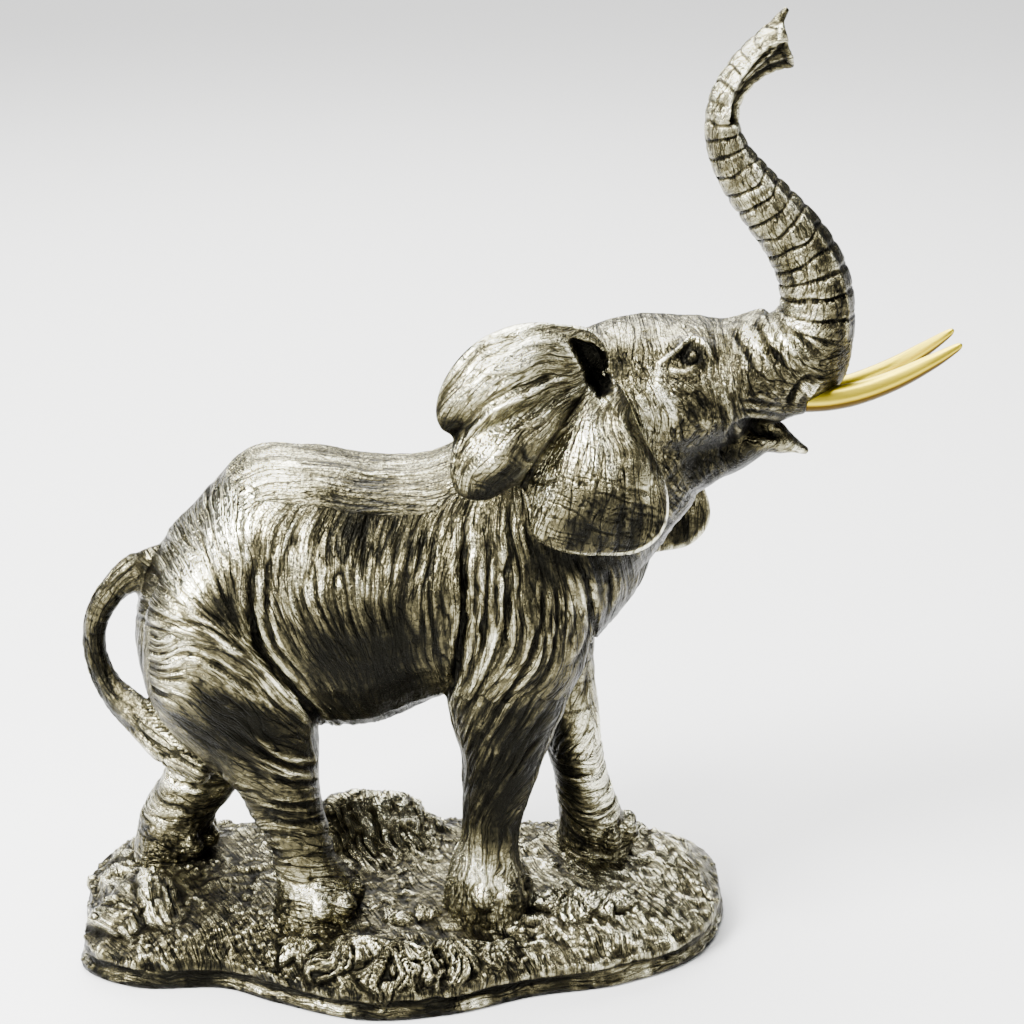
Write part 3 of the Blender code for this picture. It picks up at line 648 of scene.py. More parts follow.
def slanted(points, out):
    """x and z of each place, slid along the slanted view to the distance out from the middle."""
    return columns(points[:, 0], points[:, 2] + VIEW_SLOPE * (out - np.abs(points[:, 1])))


def side_places(points):
    """x and z on the hide as if the far legs stood where the near ones do."""
    x, y, z = points.T
    shift = np.where(x < 0, leg_shift(z, NEAR_HIND_LEG, FAR_HIND_LEG),
                     leg_shift(z, NEAR_FORE_LEG, FAR_FORE_LEG))
    flat = slanted(points, BODY_OUT)
    flat[:, 0] -= shift * ramp(y, -3, 3) * ramp(-z, -112, -90)
    return flat


def face_places(points):
    """x and z on the head as if its left side were as high as its right one."""
    x, y, z = points.T
    drop = LEFT_EYE_DROP * ramp(y, -4, 8) * ramp(x, 60, 80) * ramp(-z, -212, -206)
    return slanted(points, FACE_OUT) + columns(x * 0, drop)


def fold_relief(points, facing, flat):
    """The long folds, which lie on the flanks and not between the legs."""
    height = np.zeros(len(points))
    for side, depth, width, run in FOLDS:
        near = np.flatnonzero((points[:, 1] * side > 6) & (facing[:, 1] * side > 0.02))
        distance, _, along = run_distance(flat[near], run)
        distance = distance + 0.6 * noise(points[near] / 4, 17)
        reach = np.clip((points[near, 1] * side - 8) / 6, 0, 1) * np.clip(facing[near, 1] * side * 2, 0, 1)
        reach = reach * ramp(along, -0.05, 0.35) * ramp(1 - along, -0.05, 0.35)
        lips = 0.25 * bump(distance - 2.0 * width, width * 0.8)
        height[near] -= depth * reach * (bump(distance, width * 0.75) - lips)
    return height


def crackle(points, size, seed):
    """Fine creases between small plates of hide: 0 in the crease, 1 on the plate."""
    edge, _ = cell_edge(points / size, seed)
    return ramp(edge, 0.02, 0.26)


def body_flows(points, facing, flat):
    """How the strokes run on the body's parts: for each its share of every place, and its flow."""
    x, z = flat.T
    y = points[:, 1]
    near_fore = ramp(x, 0, 8) * ramp(-y, 0, 4)
    leg = ramp(-z, -70, -56) * (1 - near_fore)
    shin = ramp(-z, -104, -86) * near_fore
    spine = ramp(facing[:, 2], 0.66, 0.8) * ramp(points[:, 2], 120, 145)
    back, up = x - RUMP_FAN[0], z - RUMP_FAN[1]
    turn = np.arctan2(up, back)
    fan = ramp(turn, 1.5, 1.8) * ramp(-turn, -3.0, -2.75) * ramp(np.hypot(up, back), 5, 10)
    front = ramp(np.abs(facing[:, 0]), 0.72, 0.88) * (1 - fan) * (1 - spine) * (1 - leg)
    shin = shin * (1 - front)
    main = BODY_FLOW(flat) + 0.35 * ramp(-z, -100, -72) * ramp(x, -12, 4) * y + 0.5 * noise(points / 9, 3)
    return [((1 - leg - shin - front) * (1 - fan) * (1 - spine), main),
            (front, 1.1 * y + 0.25 * z + 0.8 * noise(points / 9, 24)),
            (leg, 0.62 * z + 0.08 * x + 1.2 * noise(points / 8, 13)),
            (shin, 0.6 * np.maximum(z - 52, 0) - x + 0.5 * y + 0.6 * noise(points / 8, 18)
             + 1.6 * ramp(-z, -50, -40) * noise(points / 4, 20)),
            (fan * (1 - spine), 20 * turn + 0.4 * noise(points / 9, 19)),
            (spine, 1.1 * y + 0.8 * noise(points / 12, 16))]


def body_relief(points, facing):
    """The wrinkles of the body and the legs."""
    flat = side_places(points)
    x, z = flat.T
    y = points[:, 1]
    flows = body_flows(points, facing, flat)
    leg = flows[2][0]
    bold = np.ones(len(points))
    for cx, cz, radius, share in BOLDNESS:
        bold += share * bump(np.hypot(x - cx, z - cz), radius)
    back = ramp(facing[:, 2], 0.5, 0.9) * ramp(points[:, 2], 120, 145)
    feet = ramp(-points[:, 2], -36, -27)
    bold = np.clip(bold, 0.06, 2.0) * (1 - 0.7 * back) * (1 - 0.5 * feet) * (1 - 0.25 * ramp(y, 0, 20))
    bold = bold * (0.7 + 0.7 * noise(points / 8, 4)) * (1 + 0.8 * leg)
    # ridges along each part's own flow; where parts meet, the flow changes hands along a ragged line
    height, flow, most = np.zeros((3, len(points)))
    for part, (share, way) in enumerate(flows):
        near = np.flatnonzero(share > 0.01)
        there = points[near]
        made = 0.7 * (furrows(way[near], there, 2.4, 18, 11) - 0.6)
        made += 0.30 * (furrows(way[near] + 20, there, 1.3, 12, 15) - 0.5)
        height[near] += share[near] * bold[near] * made
        claim = share + 0.35 * (share > 0.1) * noise(points / 3.5 + 9 * part, 25)
        flow = np.where(claim > most, way, flow)
        most = np.maximum(most, claim)
    # fine grain, creases between plates, and slow swells
    grain = np.where(leg > 0.5, 0.9 * x + y + 1.4 * noise(points / 5, 14), flow + 40)
    height += (0.14 * bold + 0.04) * (strokes(grain, points, 0.9, 6, 12) - 0.5)
    warped = points + 0.6 * noise(points / 2, 22)[:, None]
    height += ((0.05 + 0.10 * back) * (crackle(warped, 1.6, 21) - 1)
               + 0.26 * feet * (crackle(warped, 2.6, 23) - 1))
    height += 0.5 * noise(points / 11, 5) + 0.22 * noise(points / 4.5, 6)
    spine = bump(np.abs(y) - SPINE_HALF_WIDTH - noise(points / 12, 8), 1.4)
    spine = spine * ramp(z, 146, 160) * ramp(-x, -14, 0)
    height += 0.2 * spine
    blocks = ramp(y, 4, 10) * ramp(-points[:, 2], -100, -84)
    lines = np.abs((points[:, 2] + 1.5 * noise(points / 10, 9)) / BLOCK_PITCH % 1 - 0.5)
    height -= 0.4 * blocks * bump(lines, 0.06) * (0.6 + 0.4 * noise(points / 6, 7))
    return height + fold_relief(points, facing, flat), flow


def path_frame(points, table, skip=0):
    """Each point's travel along a limb, its angle from the front, its depth, and the limb's length."""
    path = smooth_rows(table, per_span=6)[skip:]
    along = unit(np.gradient(path[:, :3], axis=0))
    lengths = np.concatenate([[0], np.cumsum(np.linalg.norm(np.diff(path[:, :3], axis=0), axis=1))])
    best = np.full(len(points), 1e9)
    travel, angle, depth = np.zeros((3, len(points)))
    for i, row in enumerate(path):
        away = points - row[:3]
        distance = np.linalg.norm(away, axis=1)
        closer = distance < best
        best = np.where(closer, distance, best)
        front = np.array([along[i][2], 0, -along[i][0]])
        travel = np.where(closer, lengths[i] + away @ along[i], travel)
        angle = np.where(closer, np.arctan2(away[:, 1], away @ front), angle)
        depth = np.where(closer, distance - max(row[3:5]), depth)
    return travel, angle, depth, lengths[-1]


def tail_relief(points, height, flow):
    """Strands that run down the tail and fan out in its tuft."""
    near = np.flatnonzero(points[:, 0] < -52)
    travel, angle, depth, length = path_frame(points[near], TAIL, skip=8)
    share = ramp(-depth, -1.5, -0.2)
    turn = angle * 4.2 + travel * 0.05
    places = columns(travel, travel * 0, travel)
    tuft = ramp(travel, length * 0.62, length * 0.8)
    strand = furrows(turn, places, 1.5, 16, 31) - 0.5
    rings = 0.22 * (furrows(travel, columns(angle * 3, angle * 0, angle * 3), 2.2, 5, 32) - 0.6)
    made = (0.35 + 0.7 * tuft) * strand + rings * (1 - tuft)
    height[near] += share * (made - height[near])
    flow[near] += share * (turn - flow[near])


def head_relief(points, facing):
    """The wrinkles of the head, the rings of the trunk, and the lids and folds of the face."""
    x, y, z = points.T
    flat = face_places(points)
    flow = HEAD_FLOW(flat) + 0.8 * y * ramp(x, 88, 104) + 0.6 * noise(points / 6, 3)
    travel, angle, _, length = path_frame(points, TRUNK)
    trunk = ramp(travel, 18, 25)
    top = ramp(facing[:, 2], 0.5, 0.85)
    throat = ramp(-facing[:, 2], 0.25, 0.7) * (1 - trunk)
    lip = ramp(-flat[:, 1], -174, -170) * ramp(x, 94, 98)
    bold = (1 - 0.5 * top) * (1 - 0.75 * throat) * (1 - trunk) * (1 - 0.85 * lip)
    bold = bold * (0.7 + 0.7 * noise(points / 5, 43))
    height = np.zeros(len(points))
    for share, way, pitch, long, seed, level in (
            (0.24, flow, 1.7, 6, 41, 0.6), (0.16, flow + 30, 1.0, 4, 42, 0.5),
            (0.2, 0.8 * x + 0.5 * y + z, 1.3, 4, 44, 0.5),
            (0.12, 0.8 * x + 0.5 * y - 1.2 * z, 1.1, 4, 45, 0.5)):
        height += share * bold * (furrows(way, points, pitch, long, seed) - level)
    plates = crackle(points + 0.6 * noise(points / 2, 22)[:, None], 1.4, 51)
    height += 0.10 * (1 - trunk) * (1 - 0.6 * throat) * (1 - lip) * (plates - 1)
    height += 0.5 * noise(points / 8, 55) * (1 - trunk) + 0.24 * noise(points / 3.4, 56) * (1 - 0.7 * trunk)
    # the folds of the face, and the eye in its socket
    for side in (-1, 1):
        near = np.flatnonzero((y * side > 3) & (facing[:, 1] * side > 0) & (trunk < 0.5))
        reach = ramp(facing[near, 1] * side, 0.0, 0.3) * ramp(y[near] * side, 3, 7)
        for depth, width, run in FACE_FOLDS:
            height[near] -= depth * reach * fold_profile(flat[near], run, width)
        across, up = flat[near, 0] - EYE[0], flat[near, 1] - EYE[1]
        socket = bump(np.hypot(across / 1.9, up + 0.22 * across), 2.3)
        height[near] -= 1.9 * reach * socket
        ball = np.sqrt(np.maximum(1 - ((across - 0.4) ** 2 + up ** 2) / 3.6, 0))
        height[near] += 1.7 * reach * ball
    # the rings of the trunk, with deep creases between them
    wander = travel + 1.1 * noise(columns(angle * 1.6, travel / 7, y * 0), 61)
    first, last = RING_PITCHES
    pitch = np.interp(travel, [RING_START, length], RING_PITCHES)
    rings = (wander - travel) / pitch - np.log(pitch / first) * (length - RING_START) / (first - last)
    into = np.abs(rings % 1 - 0.5) * 2
    band = ramp(np.abs(angle), 0.75, 0.95)
    deep = 0.6 + 0.4 * noise(columns(np.floor(rings), angle * 1.3, y * 0), 62)
    ring_height = -1.15 * deep * ramp(into, 0.72, 1.0) + 0.35 * (1 - into ** 2)
    places = columns(angle * 10, y * 0, angle * 10)
    ring_height += 0.16 * (strokes(travel, places, 0.8, 7, 63) - 0.5)
    ring_height += 0.14 * (furrows(angle * 9, columns(travel, y * 0, travel), 2.0, 3, 64) - 0.6)
    taper = 0.45 + 0.55 * ramp(-travel, -length, -length * 0.35)
    height += trunk * band * ring_height * taper
    height += trunk * 0.75 * taper * bump(np.abs(angle) - 0.84, 0.13)
    height -= trunk * (1 - band) * 0.5 * bump(into - 1, 0.3) * taper
    # the open end of the trunk, the cleft behind it and its lip
    away = points - np.array(TRUNK[-1][:3])
    end = away @ np.array(TRUNK_END_FACING)
    off = np.linalg.norm(away - end[:, None] * np.array(TRUNK_END_FACING), axis=1)
    height -= 4.5 * ramp(end, -1.6, -0.4) * ramp(5.2 - off, 0, 2.6)
    reach = ramp(travel, length - 48, length - 42) * ramp(-facing[:, 1], 0.05, 0.4)
    distance, _, along = run_distance(flat, TRUNK_SLOT)
    height -= 2.4 * reach * ramp(4.4 - 3.4 * along - distance, -0.8, 0.8)
    height += 0.9 * reach * fold_profile(flat, TRUNK_LIP, 0.8)
    flow = np.where(trunk > 0.5, 0.3 * travel + 8 * np.abs(angle), flow)
    return height, flow


def hide_relief(points, facing):
    """The relief of the whole hide, with the head's and the body's melted together across the neck."""
    ahead = ahead_of_neck(points)
    height, flow = np.zeros((2, len(points)))
    for way, part in ((-ahead, body_relief), (ahead, head_relief)):
        share = ramp(way, -NECK_MELT, NECK_MELT)
        near = np.flatnonzero(share > 0)
        part_height, part_flow = part(points[near], facing[near])
        height[near] += share[near] * part_height
        flow[near] += share[near] * part_flow
    tail_relief(points, height, flow)
    return height, flow


def build_elephant(grain, triangles):
    """The whole hide from its lofts, carved, and parted into rear, front and head."""
    bm = bmesh.new()
    add_limb(bm, TORSO, upright=True)
    for limb in (NECK, SKULL, CHEEK, JAW, UPPER_LIP, TRUNK, TRUNK_FINGER, TAIL,
                 NEAR_FORE_LEG, FAR_FORE_LEG, NEAR_HIND_LEG, FAR_HIND_LEG):
        add_limb(bm, limb)
    for hand in (-1, 1):
        tusk_drop, eye_drop = (LEFT_TUSK_DROP, LEFT_EYE_DROP) if hand > 0 else (0, 0)
        add_limb(bm, [(x, y * hand, z - tusk_drop, a, b) for x, y, z, a, b in SHEATH], sides=20)
        add_ball(bm, (TEMPLE[0], TEMPLE[1] * hand, TEMPLE[2] - eye_drop), TEMPLE_SIZE)
    for foot, angle in TOES:
        add_toes(bm, foot, angle)
    hide = mesh_object("hide", bm)
    fuse(hide, grain, softening=18)
    carve(hide, hide_relief, hide_wear_and_painted_light)
    (shoulder, ahead), (neck, upward) = SHOULDER_CUT, NECK_CUT
    parts = {"elephant_rear": [(shoulder + ahead * CUT_LAP, -ahead)],
             "elephant_front": [(shoulder - ahead * CUT_LAP, ahead), (neck + upward * CUT_LAP, -upward)],
             "elephant_head": [(neck - upward * CUT_LAP, upward)]}
    made = [kept_side(hide, name, planes) for name, planes in parts.items()]
    bpy.data.objects.remove(hide)
    for piece in made:
        thin(piece, triangles)
        close_cuts(piece)
    return made


# ---- tusks ----------------------------------------------------------------------------------------
def build_tusk(name, hand):
    """One smooth tusk with a blunt tip, which keeps how far each place faces down, for its painted underside
    shade.
    """
    drop = LEFT_TUSK_DROP if hand > 0 else 0
    rows = []
    for x, y, z, radius in TUSK:
        along = (x - TUSK[0][0]) / (TUSK[-1][0] - TUSK[0][0])
        rows.append((x, y * hand, z - drop * (1 - along ** 1.5), radius, radius))
    bm = bmesh.new()
    add_limb(bm, rows, sides=40, per_span=12)
    made = mesh_object(name, bm)
    facing = read(made.data, "normal")
    # painted shade: the gold is made darker where the tusk faces down
    note(made.data, "under", ramp(-facing[:, 2] - 0.15 * facing[:, 1], 0.1, 0.62))
    return made


# ---- ears -----------------------------------------------------------------------------------------
def ear_grid(root, turn, steps, per_span):
    """Rings of points from an ear's root to its rim, and each ring's share of the way."""
    compass = [(math.cos(math.radians(a + turn)), math.sin(math.radians(a + turn)), r, out)
               for a, r, out in EAR_RIM]
    rims = smooth_rows(compass, per_span, closed=True)
    angle = np.arctan2(rims[:, 1], rims[:, 0])
    part = np.linspace(1 / steps, 1, steps)[:, None]
    swell = np.sin(np.minimum(part / 0.62, 1.0) * math.pi / 2)
    out = rims[:, 3] * swell - 10 * np.maximum(part - 0.75, 0)
    side = math.copysign(1, root[1])
    grid = np.stack([root[0] + np.cos(angle) * rims[:, 2] * part, root[1] + side * out,
                     root[2] + np.sin(angle) * rims[:, 2] * part], axis=2)
    return grid, part


def ear_relief(points, part, hand):
    """The lobes of an ear, the strokes that fall from its root, and the fine square cross creases."""
    flat = slanted(points, EAR_OUT)
    if hand > 0:
        flat = columns(flat[:, 0] - 10, flat[:, 1] + 28)
    flow = EAR_FLOW(flat) + 0.5 * noise(points / 8, 71)
    cross = flat @ np.array([0.25, 0.97]) + 1.5 * noise(points / 6, 79)
    out = ramp(part, 0.06, 0.35)
    patches = 0.7 + 0.6 * noise(points / 5, 78)
    height = out * patches * 0.3 * (furrows(flow, points, 2.6, 16, 72) - 0.6)
    height += out * 0.1 * (furrows(flow, points, 1.1, 10, 73) - 0.5)
    height += out * 0.7 * noise(columns(flow / 6, points[:, 0] / 30, points[:, 2] / 30), 75)
    lower = ramp(-flat[:, 1], -178, -160)
    lines = noise(columns(cross / 1.3, flow / 6, flow * 0), 74)
    height += 0.3 * (0.3 + lower) * (ramp(np.abs(lines), -0.02, 0.2) - 1)
    height += 0.9 * noise(points / 9, 76) + 0.2 * noise(points / 3.5, 77)
    for depth, width, run in EAR_FOLDS:
        distance, side, along = run_distance(flat, run)
        fade = ramp(along, -0.1, 0.25) * ramp(1 - along, -0.3, 0.2)
        step = 0.5 * side * ramp(distance, 0, 1.2) * bump(distance, width)
        height += fade * (depth * step - 0.3 * abs(depth) * bump(distance, 0.9))
    hollow = np.zeros(len(points))
    if hand < 0:
        distance, _, along = run_distance(flat, EAR_HOLLOW)
        wide = 0.3 + 2.7 * np.sin(np.clip(along, 0, 1) * 2.7)
        hollow = ramp(wide + 0.5 * noise(points / 2, 80) - distance, -1.8, 1.2)
        height = height * (1 - hollow) - 5 * hollow
    # the colour: the table's wear and painted light, a bright line along the front lobe's rim (wear and
    # painted highlight), and painted shade in the hollow beside the root
    rim = ramp(part, 0.962, 0.98) * ramp(flat[:, 0], 42, 56)
    return height, flow, spots_of_wear_and_painted_light(flat, EAR_WEAR_AND_PAINTED_LIGHT) + 1.7 * rim - 2.4 * hollow


def build_ear(name):
    """One ear as a closed sheet: a carved outer skin that rolls over the rim to a plainer inner one."""
    root, turn, steps, per_span = EARS[name]
    side = math.copysign(1, root[1])
    grid, part = ear_grid(root, turn, steps, per_span)
    around = grid.shape[1]
    parts = np.repeat(part[:, 0], around)
    relief, flow, wear_and_painted_light = ear_relief(grid.reshape(-1, 3), parts, side)
    relief = (relief * ramp(1.01 - parts, 0, 0.05)).reshape(steps, around)
    rolled = EAR_HALF_THICKNESS * np.sqrt(np.maximum(1 - part ** 14, 0.02))
    outer, inner = grid.copy(), grid.copy()
    outer[:, :, 1] += side * (rolled + relief)
    inner[:, :, 1] -= side * (rolled * 0.9 - np.minimum(relief, 0) + 0.25 * np.maximum(relief, 0))
    thinner = np.concatenate([np.arange(steps - 1, 8, -4), [0]])
    rings = np.concatenate([outer, inner[thinner]])
    bm = bmesh.new()
    bridge_rings(bm, rings)
    made = mesh_object(name, bm)
    mesh = made.data
    height = np.concatenate([relief, relief[thinner] * 0.3]).ravel()
    flow, wear_and_painted_light = (np.concatenate([each, each[thinner]]).ravel()
                  for each in (flow.reshape(steps, around), wear_and_painted_light.reshape(steps, around)))
    facing = columns(*(blurred(mesh, axis, rounds=10) for axis in read(mesh, "normal").T))
    note_patina(mesh, height, flow, facing, read(mesh), wear_and_painted_light)
    return made


# ---- the ground -----------------------------------------------------------------------------------
def ground_height(x, y, edge):
    """Height of the ground at a place; edge is 0 in the middle and 1 at the rim."""
    height = RIM_HEIGHT + (GROUND_LEVEL - RIM_HEIGHT) * (1 - edge ** 4) + GROUND_SLOPE * y * (1 - edge ** 6)
    for cx, cy, rise, half_x, half_y in MOUNDS:
        height = height + rise * np.exp(-((x - cx) / half_x) ** 2 - ((y - cy) / half_y) ** 2)
    return height


def ground_relief(points, facing):
    """Leaves, layered rock, pebbles and grit."""
    x, y, z = points.T
    flat = columns(x, y, z * 0.6)
    top = ramp(facing[:, 2], 0.1, 0.5)
    under = ramp(-facing[:, 2], 0.3, 0.8)
    height, leafy, rocky = np.zeros((3, len(points)))
    flow = x + 0.6 * y + 2.5 * noise(points / 12, 80)
    # tufts: leaves that fan out from one place and rise toward their middle
    for i, (cx, cy, heading, reach, leaves) in enumerate(TUFTS):
        away = np.hypot(x - cx, y - cy)
        turn = np.arctan2(y - cy, x - cx) - math.radians(heading) + 0.5 * noise(points / 9, 81 + i)
        turn = (turn + math.pi) % (2 * math.pi) - math.pi
        long = reach * (1 + 0.3 * noise(columns(turn * 2.5, x * 0, x * 0), 91 + i))
        inside = ramp(1.25 - np.abs(turn), 0, 0.3) * ramp(long - away, 0, 2.0) * ramp(away, 0, 2)
        sway = 0.3 * noise(columns(turn * 3, away / 5, x * 0), 101 + i)
        edge = np.abs((turn + sway) * leaves * 0.48 % 1 - 0.5)
        blade = ramp(0.5 - edge, 0.05, 0.24) * (0.6 + 0.8 * edge)
        rise = 3.6 * np.sin(np.clip(away / long, 0, 1) * math.pi) ** 0.7
        height += inside * (rise * (0.1 + 0.9 * blade) - 0.8)
        flow = flow * (1 - inside) + turn * 9 * inside
        leafy = np.maximum(leafy, inside)
    # wedges of rock, split into layers along their length
    for cx, cy, heading, long, wide, tall in WEDGES:
        c, s = math.cos(math.radians(heading)), math.sin(math.radians(heading))
        u, v = (x - cx) * c + (y - cy) * s, (y - cy) * c - (x - cx) * s
        inside = ramp(1.15 - np.hypot(u / long, v / wide) + 0.2 * noise(points / 4, 88), 0, 0.3)
        layers = columns(u, u * 0, u)
        slope = tall * (0.55 - 0.45 * u / long) * ramp(1.1 - np.abs(v / wide), 0, 0.5)
        bent = v + 1.8 * noise(points / 7, 89)
        height += inside * (slope * 0.75 + (0.4 + 0.17 * tall) * (furrows(bent, layers, 2.2, 7, 82) - 0.6))
        flow = flow * (1 - inside) + bent * inside
        rocky = np.maximum(rocky, inside)
    # broken ground from large clods to grit, then pebbles, then the groove round the edge
    open_ground = (1 - leafy) * (1 - 0.75 * rocky)
    rough = (1 - under) * (1 - 0.9 * leafy)
    body = ramp(z, 5.2, 8)
    bent = points + 1.2 * columns(*(noise(points / 3, seed) for seed in (181, 182, 183)))
    broken = 0.6 + 0.6 * noise(points / 13, 95)
    for size, share, seed in ((11.0, 1.5, 86), (5.5, 1.3, 87), (2.7, 0.6, 90), (1.5, 0.36, 92)):
        ridges = 0.45 - np.abs(noise(bent / size, seed)) * 1.6
        height += rough * share * broken * ridges * (0.5 + 0.5 * open_ground) * (0.15 + 0.85 * body)
    _, middle = cell_edge(flat / 2.2, 83)
    pebbles = ramp(0.6 - middle, 0, 0.5) * ramp(noise(points / 8, 84), 0.0, 0.35)
    height += top * open_ground * 0.7 * pebbles
    side = (1 - top) * (1 - under)
    flow = np.where(z < 6.2, 1.3 * z + 1.5 * noise(points / 6, 96), flow)
    height -= side * 0.5 * ramp(noise(points / 2.6, 97), 0.25, 0.6) * ramp(-z, -5.5, -4)
    groove = bump(z - RIM_GROOVE - 0.8 * noise(points / 9, 93), 0.8)
    height -= side * (0.7 + 0.6 * noise(points / 7, 94)) * groove
    return height * (1 - under), flow


def ground_wear_and_painted_light(points, facing):
    """The lip round the ground, its front right end and its mound are made bright: painted light with some
    wear.
    """
    x, _, z = points.T
    lip = ramp(-z, -4.6, -3.4) * ramp(facing[:, 2], -0.5, 0.2)
    mound = bump(np.hypot(x + 6, points[:, 1] - 22), 16)
    rim = ramp(-z, -5.5, -4.5) * (0.5 + noise(points / 11, 98) + 0.5 * noise(points / 3.1, 99))
    return 0.7 * lip + 0.5 * ramp(x, 20, 70) * (1 - lip) + 0.8 * mound - 0.9 * rim


def build_ground(voxel, triangles):
    """The rocky ground as a stack of rings, remeshed finely and carved."""
    rim = smooth_rows(GROUND_OUTLINE, per_span=8, closed=True)
    middle = rim.mean(axis=0)
    rings = []
    for part in np.linspace(0.04, 0.985, GROUND_RINGS):
        ring = middle + (rim - middle) * part
        rings.append(columns(ring, ground_height(ring[:, 0], ring[:, 1], part)))
    for grow, level in RIM_PROFILE:
        rings.append(columns(middle + (rim - middle) * grow, np.full(len(rim), level)))
    bm = bmesh.new()
    bridge_rings(bm, rings[::-1])
    made = mesh_object("rocky_ground", bm)
    fuse(made, voxel, softening=2)
    carve(made, ground_relief, ground_wear_and_painted_light)
    points = read(made.data)
    points[:, 2] = np.maximum(points[:, 2], 0)
    write(made.data, points)
    thin(made, triangles)
    return made


# ---- materials ------------------------------------------------------------------------------------
PATINA_START = -2.9                          # the patina's level before its parts are added: all dark


def node(tree, kind, place, inputs=None, **settings):
    """A shader node at a place on the sheet, with its settings, and its inputs set or linked."""
    made = tree.nodes.new(kind)
    made.location = place
    for name, value in settings.items():
        setattr(made, name, value)
    feed(tree, made, inputs or {})
    return made


def feed(tree, made, inputs):
    """Link each input to a socket, or set it to a number or a colour."""
    for name, value in inputs.items():
        if isinstance(value, bpy.types.NodeSocket):
            tree.links.new(value, made.inputs[name])
        else:
            made.inputs[name].default_value = value


def maths(tree, place, operation, *values, clamp=False):
    """A Math node whose inputs are numbers or links."""
    return node(tree, "ShaderNodeMath", place, dict(enumerate(values)), operation=operation,
                use_clamp=clamp).outputs[0]


def weighed(tree, place, level, terms):
    """A level to which each value is added in its share, by Math nodes in a row."""
    for i, (value, share) in enumerate(terms):
        level = maths(tree, (place[0] + 100 * i, place[1]), "MULTIPLY_ADD", value, share, level)
    return level


def colour_ramp(tree, place, factor, stops):
    """A colour ramp through stops of position and colour."""
    made = node(tree, "ShaderNodeValToRGB", place, {"Fac": factor})
    elements = made.color_ramp.elements
    while len(elements) < len(stops):
        elements.new(0.5)
    for element, (position, colour) in zip(elements, stops):
        element.position = position
        element.color = (*colour, 1)
    return made.outputs["Color"]


def stretched(tree, place, vector, scale):
    """A vector scaled along its three axes."""
    return node(tree, "ShaderNodeMapping", place, {"Scale": scale, "Vector": vector}).outputs[0]


def noise_node(tree, place, vector, scale=1.0, detail=3.0, roughness=0.6):
    """Noise over a vector."""
    inputs = {"Scale": scale, "Detail": detail, "Roughness": roughness, "Vector": vector}
    return node(tree, "ShaderNodeTexNoise", place, inputs).outputs["Fac"]


def soft_step(tree, place, value, low, high):
    """0 below low, 1 above high, and a smooth rise between."""
    inputs = {"Value": value, "From Min": low, "From Max": high}
    return node(tree, "ShaderNodeMapRange", place, inputs, interpolation_type="SMOOTHSTEP").outputs["Result"]


def between(tree, place, value, low, high):
    """A value of 0 to 1 turned into one of low to high."""
    return node(tree, "ShaderNodeMapRange", place, {"Value": value, "To Min": low, "To Max": high}).outputs[0]


def line_layer(tree, place, vector, scale, width):
    """Thin lines of 0 on 1 that wander along a vector's first number."""
    x, y = place
    wave = noise_node(tree, (x + 170, y), stretched(tree, place, vector, scale), detail=1.5, roughness=0.5)
    away = maths(tree, (x + 340, y), "ABSOLUTE", maths(tree, (x + 250, y - 60), "SUBTRACT", wave, 0.5))
    return soft_step(tree, (x + 430, y), away, 0.0, width)


def dented(tree, place, height, strength, distance):
    """The normal of a surface with small dents in it."""
    inputs = {"Strength": strength, "Distance": distance, "Height": height}
    return node(tree, "ShaderNodeBump", place, inputs).outputs["Normal"]


